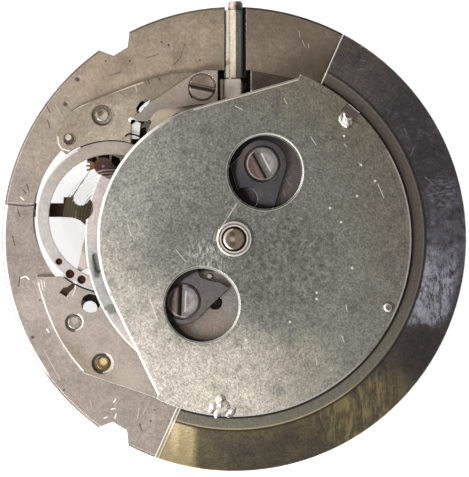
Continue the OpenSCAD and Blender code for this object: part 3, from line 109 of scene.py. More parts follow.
class Finish:
    """One metal finish, built up from layers in the object's own millimetres."""

    def __init__(self, name, colour, metallic, rough):
        self.mat = bpy.data.materials.new(name)
        self.mat.use_nodes = True
        self.tree = self.mat.node_tree
        self.bsdf = self.tree.nodes["Principled BSDF"]
        self.bsdf.inputs["Metallic"].default_value = metallic
        self.bsdf.inputs["Roughness"].default_value = rough
        self.mat.diffuse_color = linear(colour)
        self.colour = linear(colour)
        self.rough = rough
        self.height = None
        coord = self.node("ShaderNodeTexCoord")
        self.normal = coord.outputs["Normal"]
        self.place = self.vector("SCALE", coord.outputs["Object"], scale=1 / MM)

    def node(self, kind, inputs=None, **settings):
        n = self.tree.nodes.new(kind)
        for key, value in settings.items():
            setattr(n, key, value)
        for key, value in (inputs or {}).items():
            connect(self.tree, n.inputs[key], value)
        return n

    def math(self, operation, *values):
        return math_node(self.tree, operation, *values)

    def vector(self, operation, a, b=(0, 0, 0), scale=None):
        inputs = {0: a, 1: b} if scale is None else {0: a, "Scale": scale}
        n = self.node("ShaderNodeVectorMath", inputs, operation=operation)
        return n.outputs["Value" if operation in ("LENGTH", "DISTANCE", "DOT_PRODUCT") else "Vector"]

    def between(self, value, low, high, to=(0.0, 1.0), smooth=True):
        inputs = {"Value": value, "From Min": low, "From Max": high, "To Min": to[0], "To Max": to[1]}
        n = self.node("ShaderNodeMapRange", inputs, interpolation_type="SMOOTHSTEP" if smooth else "LINEAR")
        return n.outputs["Result"]

    def band(self, value, low, high, soft=SOFT):
        """1 where a value lies from low to high."""
        start = self.between(value, low - soft, low + soft)
        return self.all_of(start, self.between(value, high + soft, high - soft))

    def all_of(self, *masks, operation="MULTIPLY"):
        out = masks[0]
        for mask in masks[1:]:
            out = self.math(operation, out, mask)
        return out

    def any_of(self, *masks):
        return self.all_of(*masks, operation="MAXIMUM")

    def stretched(self, turn, stretch):
        """The place turned by an angle and squeezed, for marks that run one way."""
        inputs = {"Vector": self.place, "Rotation": (0, 0, math.radians(turn)), "Scale": stretch}
        return self.node("ShaderNodeMapping", inputs).outputs["Vector"]

    def noise(self, size, detail=3.0, place=None, seed=0.0, rough=0.55):
        """Noise with features of about that size in mm, 0 to 1."""
        inputs = {"Vector": self.place if place is None else place, "W": seed, "Scale": 1 / size,
                  "Detail": detail, "Roughness": rough}
        return self.node("ShaderNodeTexNoise", inputs, noise_dimensions="4D").outputs["Fac"]

    def cloud(self, size, low, high, detail=3.0, place=None, seed=0.0, rough=0.55):
        return self.between(self.noise(size, detail, place, seed, rough), low, high)

    def specks(self, size, reach, seed=0.0, stretch=(1, 1, 1), turn=0):
        """Small separate dots: one in each cell, of a random size up to reach."""
        inputs = {"Vector": self.stretched(turn, stretch), "W": seed, "Scale": 1 / size}
        n = self.node("ShaderNodeTexVoronoi", inputs, voronoi_dimensions="4D", feature="F1")
        pick = self.node("ShaderNodeSeparateColor", {0: n.outputs["Color"]})
        radius = self.math("MULTIPLY", self.math("POWER", pick.outputs[0], 4.0), reach)
        ratio = self.math("DIVIDE", n.outputs["Distance"], self.math("ADD", radius, 0.0001))
        return self.between(ratio, 1.0, 0.5)

    def frayed(self, far, ragged, size, seed):
        """A distance with up to that many mm added or taken by noise."""
        if not ragged:
            return far
        push = self.math("SUBTRACT", self.noise(size, 4, seed=seed), 0.5)
        return self.math("ADD", far, self.math("MULTIPLY", push, ragged * 2))

    def away(self, x, y):
        return self.vector("SUBTRACT", self.place, (x, y, 0))

    def radius_of(self, x=0.0, y=0.0):
        """The distance in mm from an upright line through a place."""
        return self.vector("LENGTH", self.vector("MULTIPLY", self.away(x, y), (1, 1, 0)))

    def near(self, x, y, radius, edge=0.6, ragged=0.0, size=1.0, seed=0.0):
        """A soft round patch round a place in mm."""
        far = self.frayed(self.radius_of(x, y), ragged, size, seed)
        return self.between(far, radius * (1 + edge), radius * (1 - edge))

    def spot(self, px, py, *sizes, **settings):
        """The same round a pixel of the photograph."""
        return self.near(*at_pixel(px, py), *sizes, **settings)

    def reach(self, place, angle):
        """How far a place lies along a direction, in mm."""
        turn = math.radians(angle)
        return self.vector("DOT_PRODUCT", place, (math.cos(turn), math.sin(turn), 0))

    def along(self, angle, start, end, ragged=0.0, size=2.0, seed=0.0):
        """0 before start and 1 after end, in mm along a direction."""
        return self.between(self.frayed(self.reach(self.place, angle), ragged, size, seed), start, end)

    def beside(self, x, y, angle, low, high):
        """A band that runs past a place: 1 from low to high mm along an angle."""
        return self.band(self.reach(self.away(x, y), angle), low, high)

    def annulus(self, x, y, inner, outer, soft=SOFT):
        """A flat ring round a place in mm."""
        return self.band(self.radius_of(x, y), inner, outer, soft)

    def strokes(self, lines):
        """Straight scratches. Each is x, y, x, y and half width, all in mm."""
        masks = []
        for x0, y0, x1, y1, width in lines:
            dx, dy = x1 - x0, y1 - y0
            square = max(dx * dx + dy * dy, 1e-6)
            rel = self.vector("MULTIPLY", self.away(x0, y0), (1, 1, 0))
            t = self.vector("DOT_PRODUCT", rel, (dx / square, dy / square, 0))
            t = self.math("MINIMUM", self.math("MAXIMUM", t, 0.0), 1.0)
            far = self.vector("DISTANCE", rel, self.vector("SCALE", (dx, dy, 0), scale=t))
            masks.append(self.between(far, width, width * 0.3))
        return self.any_of(*masks)

    def lines(self, width, *ends):
        """Strokes of one half width whose ends are given as pixels of the photograph."""
        return self.strokes([(*at_pixel(a, b), *at_pixel(c, d), width) for a, b, c, d in ends])

    def inside(self, *corners):
        """1 inside a convex outline of pixels, with its corners counterclockwise as seen."""
        corners = [at_pixel(*c) for c in corners]
        sides = []
        for (x0, y0), (x1, y1) in zip(corners, corners[1:] + corners[:1]):
            length = math.hypot(x1 - x0, y1 - y0)
            inward = ((y0 - y1) / length, (x1 - x0) / length, 0)
            t = self.vector("DOT_PRODUCT", self.away(x0, y0), inward)
            sides.append(self.between(t, -SOFT, SOFT))
        return self.all_of(*sides)

    def below(self, high, low):
        """0 above one height and 1 below the other, in mm above the dial side."""
        split = self.node("ShaderNodeSeparateXYZ", {0: self.place})
        return self.between(split.outputs["Z"], high, low)

    def facing_up(self):
        """1 on faces that look up, 0 on walls."""
        split = self.node("ShaderNodeSeparateXYZ", {0: self.normal})
        return self.between(split.outputs["Z"], 0.6, 0.9)

    def turned_to(self, direction, low, high):
        """1 on faces that look along a direction, from the cosines low to high."""
        unit = tuple(Vector(direction).normalized())
        return self.between(self.vector("DOT_PRODUCT", self.normal, unit), low, high)

    def layer(self, mask, colour, share=None):
        """Paints a colour where the mask is, or a share of it."""
        if share is not None:
            mask = self.math("MULTIPLY", mask, share)
        inputs = {"Factor": mask, "A": self.colour, "B": linear(colour)}
        self.colour = self.node("ShaderNodeMix", inputs, data_type="RGBA").outputs["Result"]
        return self

    def shade(self, mask, low, high):
        """Multiplies the colour by low to high along the mask."""
        factor = self.between(mask, 0, 1, (low, high), smooth=False)
        start = self.colour[:3] if isinstance(self.colour, tuple) else self.colour
        self.colour = self.vector("SCALE", start, scale=factor)

    def matt(self, mask, amount):
        """Adds to the roughness where the mask is."""
        self.rough = self.math("ADD", self.rough, self.math("MULTIPLY", mask, amount))

    def raise_by(self, mask, height):
        """Adds a height in mm where the mask is, for the bump."""
        h = self.math("MULTIPLY", mask, height)
        self.height = h if self.height is None else self.math("ADD", self.height, h)

    def grain(self, size, amount, seed=0.0, depth=0.0, place=None, detail=2.0):
        """Grain of a size in mm that is lighter and darker by an amount, and that high in mm."""
        wide = self.between(self.noise(size, detail, place, seed), 0.3, 0.7, smooth=False)
        self.shade(wide, 1 - amount, 1 + amount)
        if depth:
            self.raise_by(wide, depth)

    def done(self):
        connect(self.tree, self.bsdf.inputs["Base Color"], self.colour)
        if isinstance(self.rough, bpy.types.NodeSocket):
            connect(self.tree, self.bsdf.inputs["Roughness"], self.math("MINIMUM", self.rough, 0.95))
        if self.height is not None:
            bump = self.node("ShaderNodeBump", {"Strength": 1.0, "Distance": MM, "Height": self.height})
            connect(self.tree, self.bsdf.inputs["Normal"], bump.outputs["Normal"])
        return self.mat


METALS = {}


def finish(key, *start):
    """Paints a finish with the function that follows, and keeps it under a name."""
    def paint(layers):
        f = Finish(*start)
        layers(f)
        METALS[key] = f.done()
        return layers
    return paint


def painted_rim_shadow(f):
    """Painted shadow of the left rim of the two round openings, on what lies under them."""
    for x, y in ACCESS:
        here = f.between(f.radius_of(x, y), ACCESS_R + 0.5, ACCESS_R + 0.3)
        rim_shadow_side = f.between(f.radius_of(x + 0.24, y - 0.03), 1.84, 2.02)
        f.layer(f.all_of(here, rim_shadow_side), (22, 18, 17), 0.92)


def weathered(f, seed, fine=0.2, coarse=0.1):
    """The worn skin of the plate and the bridges: fine grain, blotches and dust."""
    f.grain(0.13, fine, seed, 0.004)
    f.grain(0.34, coarse, seed + 1)
    f.grain(1.3, 0.12, seed + 2, detail=4.0)
    f.layer(f.specks(0.6, 0.14, seed + 3), (92, 78, 62), 0.45)
    f.layer(f.specks(0.75, 0.12, seed + 4), (222, 212, 198), 0.4)
    f.matt(f.noise(0.3, 3, seed=seed), 0.14)


@finish("ring", "plate_nickel", (170, 154, 135), 0.75, 0.46)
def ring_metal(f):
    f.layer(f.along(215, 0, 9, ragged=2, size=4), (154, 144, 136))
    f.layer(f.along(55, 4.5, 12, ragged=1.6, size=3, seed=5), (122, 109, 95))
    f.layer(f.spot(203, 28, 1.5, 0.6, ragged=0.4), (188, 171, 148), 0.6)
    f.layer(f.spot(30, 305, 1.1, 0.6, ragged=0.4), (178, 166, 156), 0.6)
    f.layer(f.cloud(1.6, 0.52, 0.72, 5, seed=14), (122, 108, 92), 0.45)
    f.layer(f.spot(60, 160, 3.0, 0.6, ragged=1.2), (176, 162, 146), 0.4)
    weathered(f, 1.0, 0.17)
    # the floor painted dark as shade below the top, the bearing bar painted darker as the balance rim's
    # shadow, the hub under the balance, and a pale patch where that painted shade is taken back
    f.layer(f.below(2.3, 1.9), (44, 37, 31), 0.8)
    balance_r = f.radius_of(*BALANCE)
    hub = f.all_of(f.between(balance_r, 2.75, 2.6), f.below(2.2, 1.9))
    f.layer(hub, (88, 80, 60), 0.9)
    bar = f.all_of(f.between(balance_r, 2.6, 2.75), f.between(balance_r, 3.8, 3.6), f.below(2.2, 1.9))
    f.layer(bar, (56, 44, 34))
    shelf = f.all_of(f.spot(56, 292, 0.9, 0.2), f.below(2.3, 1.9))
    f.layer(shelf, (176, 164, 152))
    # the lip at the left: smoother, with a painted highlight
    lip_highlight = f.all_of(f.annulus(0, 0, 12.79, 12.955, 0.02), f.along(180, 10.2, 10.9), f.along(90, 2.05, 1.85))
    f.layer(lip_highlight, (250, 248, 244)).matt(lip_highlight, -0.1)
    # a painted highlight on the right edge of the recess by the stem
    f.layer(f.lines(0.06, (251.2, 72, 251.2, 91)), (255, 246, 222))
    # turned step, its groove painted with shade and a painted highlight beside it, cracks and scratches
    step = f.lines(0.035, (6, 204, 26, 206), (26, 206, 35, 205))
    f.layer(step, (62, 50, 40), 0.9).raise_by(step, -0.03)
    f.layer(f.lines(0.03, (8, 202.4, 33, 203.4)), (214, 204, 192), 0.5)
    cracks = f.lines(0.035, (185, 44, 181, 57), (181, 57, 174, 65), (146, 58, 159, 54), (109, 76, 121, 72))
    f.layer(cracks, (84, 70, 56), 0.5).raise_by(cracks, -0.015)
    dents = f.lines(0.05, (45, 102, 50, 112), (27, 184, 29, 190), (24, 190, 26, 193), (18, 210, 20, 216),
                    (13, 236, 15, 245), (20, 277, 19, 286), (140, 424, 142, 430), (48, 120, 50, 127))
    f.layer(dents, (80, 70, 60), 0.6).raise_by(dents, -0.02)
    pits = [(169, 45, 1.4), (162, 42, 1), (130, 61, 1), (106, 61, 1), (33, 337, 1.5), (119, 352, 1),
            (78, 79, 2.6), (66, 104, 2.4), (40, 300, 0.8), (64, 390, 0.9), (151, 421, 1), (155, 410, 0.7),
            (200, 60, 0.9)]
    for px, py, size in pits:
        pit = f.spot(px, py, 0.05 * size, 0.5)
        f.layer(pit, (54, 44, 36), 0.75).raise_by(pit, -0.03)
    scuffs = f.lines(0.055, (114, 402, 116, 399), (111.5, 409, 115, 408.4), (115, 418, 116.4, 414),
                     (104.5, 418, 107, 417), (21, 278, 26, 276), (26, 276, 29, 279), (21, 197, 24, 200),
                     (47, 329, 49, 332))
    f.layer(scuffs, (250, 247, 242), 0.9).raise_by(scuffs, 0.01)
    f.layer(f.lines(0.03, (299, 31, 300, 37), (302, 40, 305, 47), (308, 44, 309, 48), (143, 414, 146, 407),
                    (139, 408, 137, 420), (64, 95, 70, 97), (55, 104, 60, 113), (44, 350, 60, 380),
                    (90, 400, 92, 408)), (214, 204, 190), 0.6)
    f.layer(f.lines(0.05, (231, 429.5, 233.5, 430), (233.5, 430, 236, 432.5)), (34, 28, 24), 0.9)


@finish("upper", "bridge_upper", (166, 152, 136), 0.75, 0.46)
def upper_metal(f):
    f.layer(f.along(20, -7.5, -3.5, ragged=1.0, size=1.2), (146, 132, 116))
    f.layer(f.spot(120, 125, 1.6, 0.6, ragged=0.8), (190, 177, 158), 0.8)
    f.layer(f.cloud(0.8, 0.5, 0.75, 4, seed=21), (132, 118, 98), 0.5)
    weathered(f, 6.0, 0.2)
    # painted shade in the seats round the pin and the nose screw
    for px, py, inner, outer in ((103, 115, 0.47, 0.6), (69.5, 139, 0.26, 0.36)):
        f.layer(f.annulus(*at_pixel(px, py), inner, outer), (60, 54, 46), 0.6)
    # painted light that lifts the shade of the spring plate's edge on the bridge
    f.layer(f.spot(166, 119, 1.0, 0.5, ragged=0.2), (228, 212, 190), 0.95)
    # painted highlights along the upper left edge and at the left tip
    f.layer(f.lines(0.05, (75, 109, 100, 96.8), (100, 96.8, 124, 89), (124, 89, 143, 82.4)),
            (228, 212, 186), 0.8)
    f.layer(f.lines(0.055, (57.8, 137, 58.6, 144), (58.6, 144, 62, 149), (62, 149, 69, 151)),
            (246, 240, 230), 0.9)
    # painted highlights on the right edge of the recess by the stem, a glint and the wedge by the window
    f.layer(f.lines(0.06, (251.2, 72, 251.2, 91)), (255, 246, 222))
    glint = f.spot(131, 119.5, 0.13, 0.35)
    f.layer(glint, (250, 248, 240)).raise_by(glint, 0.02)
    f.layer(f.lines(0.1, (148.5, 119, 153, 113.5), (151, 120, 154, 115)), (240, 232, 222), 0.95)
    f.layer(f.lines(0.04, (135, 85, 137, 92), (88, 134, 92, 132), (149, 81, 150, 85), (70, 103, 74, 99)),
            (226, 214, 196), 0.6)
    f.layer(f.lines(0.05, (148.5, 80.5, 149.5, 84), (168, 71, 169, 75), (159, 78, 160, 80)),
            (48, 40, 34), 0.85)
    # the lower faces painted dark as shade
    f.layer(f.below(2.85, 2.7), (58, 48, 38), 0.6)


@finish("lower", "bridge_lower", (166, 155, 146), 0.75, 0.45)
def lower_metal(f):
    f.layer(f.along(232, 9.4, 10.8, ragged=0.4, size=0.6), (146, 131, 114), 0.75)
    f.layer(f.cloud(1.2, 0.5, 0.75, 4, seed=33), (152, 141, 132), 0.4)
    weathered(f, 9.0, 0.13, 0.07)
    # painted shade in the seat round each pin, and a painted highlight on the seat's far side
    for px, py, inner, outer in ((74, 322, 0.36, 0.5), (102, 363, 0.4, 0.56)):
        f.layer(f.annulus(*at_pixel(px, py), inner, outer), (46, 38, 32), 0.85)
        lit_far_side = f.all_of(f.annulus(*at_pixel(px, py), outer - 0.06, outer + 0.05),
                            f.beside(*at_pixel(px, py), -10, 0.15, 1))
        f.layer(lit_far_side, (232, 224, 212), 0.85)
    f.layer(f.spot(130, 380, 0.8, 0.6), (182, 172, 160), 0.6)
    # a sunk patch painted dark as shade, with a painted highlight on its right edge
    key = f.all_of(f.below(2.95, 2.85), f.spot(67, 289, 0.6, 0.2))
    f.layer(key, (70, 56, 40))
    f.layer(f.lines(0.03, (76, 283.5, 75, 290), (75, 290, 72, 296)), (240, 232, 222), 0.9)
    # painted highlights along the left edge
    path = ((38.5, 283), (39.3, 288), (42.4, 297), (47, 311), (53.8, 327.5), (60, 340), (67.4, 351.5),
            (76, 362.5), (83, 370.5))
    lit = [(*a, *b) for a, b in zip(path, path[1:])]
    f.layer(f.lines(0.06, *lit), (248, 245, 240))
    # painted shade along the lower edge, which faces away from the light
    f.layer(f.lines(0.045, (87, 376.3, 106.5, 386), (106.5, 386, 130, 392), (130, 392, 160, 399)),
            (84, 66, 52), 0.85)
    # painted highlights near the top of the left edge
    f.layer(f.lines(0.04, (41, 280, 43, 290), (44, 281, 45, 287)), (246, 242, 236), 0.75)


@finish("spring_plate", "spring_plate_nickel", (172, 158, 144), 0.75, 0.45)
def spring_plate_metal(f):
    f.layer(f.cloud(0.9, 0.48, 0.72, 4, seed=51), (150, 136, 122), 0.4)
    f.layer(f.spot(148, 112, 0.9, 0.5, ragged=0.3), (142, 142, 130), 0.6)
    weathered(f, 12.0, 0.1, 0.06)


@finish("auto", "automatic_nickel", (208, 195, 190), 0.7, 0.45)
def automatic_metal(f):
    f.layer(f.between(f.radius_of(), 7.3, 6.9), (136, 127, 118))
    f.layer(f.near(*ACCESS[0], 2.3, 0.3), (102, 93, 90), 0.9)
    f.layer(f.spot(232, 305, 0.9, 0.5, ragged=0.3), (152, 150, 144), 0.7)
    f.layer(f.spot(215, 330, 1.0, 0.6, ragged=0.4), (152, 134, 124), 0.6)
    f.layer(f.spot(175, 325, 0.9, 0.5, ragged=0.3), (124, 104, 92), 0.7)
    # the strip beside the rotor: a grey stretch with a dark oval painted as the shade of an opening, and a
    # smudge
    strip = f.all_of(f.annulus(0, 0, 7.6, 8.22, 0.05), f.along(180, 5.2, 6.2, ragged=0.5, size=1),
                     f.along(-90, -0.4, 0.9), f.along(90, -5.2, -4.0))
    f.layer(strip, (168, 170, 168), 0.8)
    # a painted highlight along the edge at the left
    rim = f.all_of(f.annulus(0, 0, 8.24, 8.36, 0.015), f.along(200, 4.0, 5.5))
    f.layer(rim, (252, 250, 246), 0.9)
    f.grain(0.14, 0.16, 15, 0.004)
    f.grain(0.5, 0.12, 16)
    f.layer(f.lines(0.26, (94.5, 259, 97, 275)), (92, 94, 86), 0.9)
    f.layer(f.lines(0.12, (95.5, 262, 96.5, 270)), (58, 60, 52), 0.8)
    f.layer(f.spot(111.5, 309.5, 0.3, 0.2, ragged=0.5, size=0.4), (92, 94, 90), 0.6)
    # the small round cut: painted shadow inside it and a painted highlight on its right side
    f.layer(f.spot(237, 199, 0.75, 0.25), (34, 28, 27), 0.95)
    # painted shadow at the upper left inside the upper opening
    dark = f.all_of(f.spot(243, 148, 0.75, 0.3), f.between(f.radius_of(*ACCESS[0]), 2.3, 2.2))
    f.layer(dark, (34, 29, 28), 0.9)
    cut_highlight_arc = f.all_of(f.annulus(*at_pixel(246, 199), 0.62, 0.7, 0.02),
                   f.beside(*at_pixel(246, 199), 0, 0.2, 2))
    f.layer(cut_highlight_arc, (190, 176, 166), 0.9)
    f.layer(f.lines(0.03, (286, 178, 289, 184), (289, 184, 292, 186), (283, 190, 285, 196)),
            (176, 168, 164), 0.6)
    # a painted reflection on the chamfer of the lower opening
    f.layer(f.lines(0.05, (214, 271.5, 224, 275), (224, 275, 232, 284), (232, 284, 236, 291)),
            (240, 232, 224), 0.9)
    painted_rim_shadow(f)


@finish("rim", "balance_gold_grey", (184, 173, 161), 0.7, 0.42)
def rim_metal(f):
    f.layer(f.along(200, 6.5, 10.5, ragged=0.5), (196, 190, 187))
    f.layer(f.along(270, 0.5, 3.0, ragged=0.4), (208, 194, 188), 0.6)
    f.grain(0.14, 0.11, 18, 0.002)
    f.grain(0.45, 0.07, 19)
    far = f.radius_of(*BALANCE)
    f.layer(f.between(far, 3.4, 3.3), (216, 202, 196), 0.7)
    # a painted highlight on the outer edge at the left
    outer = f.all_of(f.between(far, 4.1, 4.17), f.beside(*BALANCE, 200, 0.5, 6))
    f.layer(outer, (250, 247, 244), 0.9)
    inner = f.between(f.math("ABSOLUTE", f.math("SUBTRACT", far, 3.5)), 0.05, 0.02)
    f.layer(f.all_of(inner, f.facing_up()), (96, 84, 72), 0.5)
    for px, py, r in ((59, 261.6, 0.19), (70, 274, 0.25), (81.5, 279.6, 0.24)):
        f.layer(f.spot(px, py, r, 0.1), (64, 30, 24))
        f.layer(f.spot(px + 0.8, py + 0.8, r * 0.35, 0.4), (112, 66, 54), 0.6)


@finish("rotor", "rotor_german_silver", (130, 129, 121), 0.75, 0.42)
def rotor_metal(f):
    # lighter towards the lower left and the left, darker towards the upper right and the top: partly
    # patina, partly painted light from the lower left
    f.layer(f.spot(140, 165, 2.6, 0.8, ragged=1.5), (164, 161, 152), 0.7)
    f.layer(f.spot(116, 226, 1.9, 0.6, ragged=0.6), (180, 176, 168), 0.6)
    f.layer(f.along(228, 2.2, 8.2, ragged=2.0, size=2.5), (200, 192, 181))
    f.layer(f.along(20, 3.5, 9.5, ragged=1.6, size=2, seed=4), (112, 104, 93), 0.8)
    f.layer(f.along(75, 5.5, 8.5, ragged=1.2, size=1.6, seed=8), (120, 112, 96), 0.55)
    f.layer(f.spot(235, 380, 2.6, 0.7, ragged=0.8), (204, 196, 182), 0.75)
    f.layer(f.spot(300, 372, 2.0, 0.7, ragged=0.8), (168, 161, 146), 0.6)
    f.layer(f.cloud(0.9, 0.5, 0.72, 5, seed=7), (92, 98, 94), 0.4)
    f.layer(f.cloud(2.2, 0.52, 0.75, 4, seed=41), (148, 146, 138), 0.3)
    stain = f.all_of(f.spot(285, 262, 2.7, 0.6, ragged=1.3, size=0.8), f.cloud(0.34, 0.42, 0.62, 5, seed=2))
    f.layer(stain, (58, 60, 53), 0.55)
    dark_top = f.all_of(f.spot(250, 240, 6.5, 0.5), f.cloud(0.3, 0.5, 0.66, 5, seed=61))
    f.layer(dark_top, (76, 80, 73), 0.4)
    rough = f.all_of(f.spot(225, 215, 5.6, 0.5), f.cloud(0.11, 0.42, 0.62, 1, seed=62))
    f.layer(rough, (88, 90, 83), 0.4)
    f.grain(0.09, 0.34, 2, 0.005, detail=1.0)
    f.grain(0.2, 0.12, 23, 0.003)
    f.grain(0.7, 0.1, 24, detail=3.0)
    f.matt(f.noise(0.2, 3, seed=3), 0.16)
    f.layer(f.specks(0.2, 0.09, 1), (214, 206, 196), 0.5)
    f.layer(f.specks(0.42, 0.17, 5), (222, 214, 202), 0.5)
    f.layer(f.specks(1.0, 0.16, 6, stretch=(1, 0.35, 1), turn=12), (212, 206, 190), 0.45)
    dark = f.specks(0.3, 0.12, 9)
    f.layer(dark, (66, 64, 56), 0.55).raise_by(dark, -0.01)
    f.layer(f.lines(0.035, (342, 336, 344, 342), (316, 358, 317, 365), (346, 305, 347, 311),
                    (277, 347, 278, 352), (378, 184, 384, 198), (311, 137, 316, 145), (284, 98, 287, 104),
                    (344, 144, 347, 147), (359, 163, 362, 166), (235, 106, 243, 110),
                    (236.5, 204, 219.5, 230), (150, 300, 158, 322), (176, 250, 186, 262),
                    (128, 225, 131, 236), (262, 404, 270, 398), (418, 352, 420, 356)), (228, 222, 208), 0.7)
    dots = [(316.6, 292.7), (316.6, 299), (344, 136), (361, 165), (375, 181), (246, 340), (290, 322),
            (330, 208), (219, 230.5), (357, 196), (341, 222), (352, 268)]
    for px, py in dots:
        f.layer(f.spot(px, py, 0.065, 0.4), (232, 228, 216))
    # painted highlights on the thin rims of the two round openings, and a darker cloudy band beside them
    for x, y in ACCESS:
        f.layer(f.annulus(x, y, ACCESS_R - 0.04, ACCESS_R + 0.05, 0.012), (222, 220, 212))
        shade = f.all_of(f.annulus(x, y, ACCESS_R + 0.1, ACCESS_R + 0.26, 0.06),
                         f.cloud(0.25, 0.4, 0.6, seed=31))
        f.layer(shade, (84, 82, 74), 0.5)
    worn = f.all_of(f.spot(208, 258, 1.1, 0.7, ragged=0.5),
                    f.cloud(0.16, 0.48, 0.66, 3, place=f.stretched(-8, (1.2, 0.45, 1)), seed=17))
    f.layer(worn, (214, 210, 202), 0.7)
    # painted highlights along the round edge at the left, the lower left edge and the top edge, dark lines
    # by the lug, a seam, and a thin painted highlight at the right
    edge = f.radius_of()
    back = f.all_of(f.between(edge, 7.5, 7.53), f.between(edge, 7.8, 7.75),
                    f.along(ROTOR_ANGLE + 180, 5.0, 5.2))
    f.layer(f.all_of(back, f.along(180, 3.0, 5.4)), (250, 248, 243))
    f.layer(f.lines(0.08, (111.6, 297, 134.5, 344), (134.5, 344, 158.6, 394)), (250, 248, 243))
    f.layer(f.lines(0.06, (341.5, 110, 351, 119.5), (351, 119.5, 358, 122.5), (348, 104, 342, 110)),
            (52, 44, 40), 0.8)
    f.layer(f.lines(0.055, (194, 109.8, 247, 94.5), (247, 94.5, 298, 79.8)), (224, 214, 196), 0.75)
    right = f.along(ROTOR_ANGLE, -0.2, 0.6)
    seam = f.all_of(f.annulus(0, 0, 9.55, 9.6, 0.03), right, f.along(60, 1.5, 3.0))
    f.layer(seam, (72, 62, 52), 0.45)
    thin = f.all_of(f.between(edge, 9.83, 9.86), right,
                    f.any_of(f.along(0, 8.4, 8.9), f.along(-70, 8.6, 9.2)))
    f.layer(thin, (182, 184, 176), 0.6)


@finish("weight", "weight_tungsten", (80, 75, 77), 0.72, 0.42)
def weight_metal(f):
    far = f.radius_of()
    slope = f.between(far, 10.7, 10.85)
    f.layer(f.spot(340, 62, 3.0, 0.6, ragged=0.8), (106, 98, 93), 0.9)
    f.layer(f.along(-78, 5.5, 11, ragged=1.4, size=1.8), (102, 92, 72))
    f.layer(f.cloud(1.8, 0.42, 0.72, 4, seed=11), (58, 56, 62), 0.5)
    f.layer(f.spot(425, 352, 1.5, 0.6, ragged=0.5), (58, 53, 55), 0.7)
    # a bluish haze at the right that ends in a rubbed patch with upright streaks
    haze = f.all_of(f.spot(452, 235, 2.4, 0.6, ragged=0.9, size=0.9), slope,
                    f.cloud(0.5, 0.35, 0.7, 4, seed=47))
    f.layer(haze, (124, 124, 136), 0.85)
    brush = f.all_of(f.spot(441, 193, 0.9, 0.5, ragged=0.3), slope,
                     f.cloud(0.2, 0.45, 0.62, 3, place=f.stretched(32, (0.35, 1.6, 1)), seed=57))
    f.layer(brush, (138, 140, 154), 0.7)
    high = f.all_of(f.spot(412, 130, 2.2, 0.5, ragged=1.2, size=0.8, seed=9), slope,
                    f.cloud(0.4, 0.5, 0.72, 5, seed=18))
    f.layer(high, (112, 112, 118), 0.6)
    rub = f.cloud(0.26, 0.36, 0.6, 4, place=f.stretched(4, (1.3, 0.55, 1)), seed=3, rough=0.7)
    patch = f.all_of(f.along(0, 9.2, 10.4), f.along(-90, -0.2, 2.2, ragged=0.8, size=0.6),
                     f.along(90, -5.0, -4.5, ragged=0.5, size=0.35), slope, f.between(far, 12.95, 12.3))
    f.layer(f.all_of(patch, rub), (184, 184, 198), 0.9)
    inner = f.all_of(patch, f.between(far, 11.5, 11.0),
                     f.cloud(0.16, 0.38, 0.6, 3, place=f.stretched(4, (1.2, 0.7, 1)), seed=53))
    f.layer(inner, (206, 206, 218), 0.5)
    f.grain(0.11, 0.3, 4, 0.005)
    f.grain(0.3, 0.14, 44)
    f.layer(f.lines(0.05, (425, 177, 433, 184), (404, 128, 407, 134), (414, 148, 411, 155),
                    (360, 47, 364, 46), (361, 60, 365, 61), (358, 70, 363, 69)), (152, 152, 164), 0.5)
    # fine golden streaks at the bottom, and a leaf of gold along the inner edge
    streak = f.cloud(0.32, 0.46, 0.66, 3, place=f.stretched(14, (1.7, 0.24, 1)), seed=12)
    gold = f.all_of(f.spot(358, 408, 2.3, 0.5, ragged=0.8, size=0.9, seed=6), streak, slope)
    f.layer(gold, (150, 138, 100), 0.85)
    leaf = f.all_of(f.between(f.radius_of(*at_pixel(344, 404)), 0.75, 0.35), f.between(far, 11.5, 11.2),
                    slope, f.cloud(0.4, 0.3, 0.55, 3, seed=71))
    f.layer(leaf, (156, 144, 94), 0.6)
    end = f.all_of(slope, f.along(0, -1.9, -2.5, ragged=0.3, size=0.25), f.along(-90, 6, 6.5))
    f.layer(end, (186, 168, 128), 0.9)
    f.layer(f.all_of(end, f.specks(0.32, 0.16, 77)), (112, 96, 66), 0.6)
    f.layer(f.all_of(end, f.cloud(0.13, 0.45, 0.66, 3, seed=78)), (132, 118, 88), 0.4)
    # the flat band between plate and slope
    band = f.between(far, 10.66, 10.6)
    f.layer(band, (106, 96, 87), 0.85)
    f.layer(f.all_of(band, f.along(-75, 4, 9)), (126, 123, 108), 0.75)
    f.layer(f.all_of(band, f.cloud(0.16, 0.4, 0.6, 4, seed=83)), (70, 63, 56), 0.25)
    # a painted shadow of the rotor plate's edge beside the band
    f.layer(f.annulus(0, 0, 9.9, 10.07, 0.02), (40, 33, 29), 0.9)
    f.layer(f.annulus(0, 0, 10.58, 10.64, 0.02), (150, 138, 124), 0.35)
    f.layer(f.annulus(0, 0, 10.68, 10.8, 0.05), (44, 37, 36), 0.7)
    # a painted golden highlight along the edge of the slope at the bottom
    gilt = f.all_of(f.annulus(0, 0, 10.62, 10.68, 0.02), f.along(-80, 8.5, 9.8))
    f.layer(gilt, (196, 180, 132), 0.7)
    # painted highlights on the cut ends, which face the light, the lower one a double line with a dark line
    # beside it
    f.layer(f.beside(0, 0, ROTOR_ANGLE, 0.84, 0.96), (248, 244, 234), 0.95)
    low = f.along(-114, 9, 10)
    f.layer(f.all_of(f.beside(0, 0, ROTOR_ANGLE, 0.99, 1.06), low), (158, 150, 132), 0.85)
    f.layer(f.all_of(f.beside(0, 0, ROTOR_ANGLE, 1.08, 1.14), low), (232, 226, 206), 0.9)
    f.layer(f.all_of(f.beside(0, 0, ROTOR_ANGLE, 1.17, 1.2), low), (84, 72, 54), 0.7)


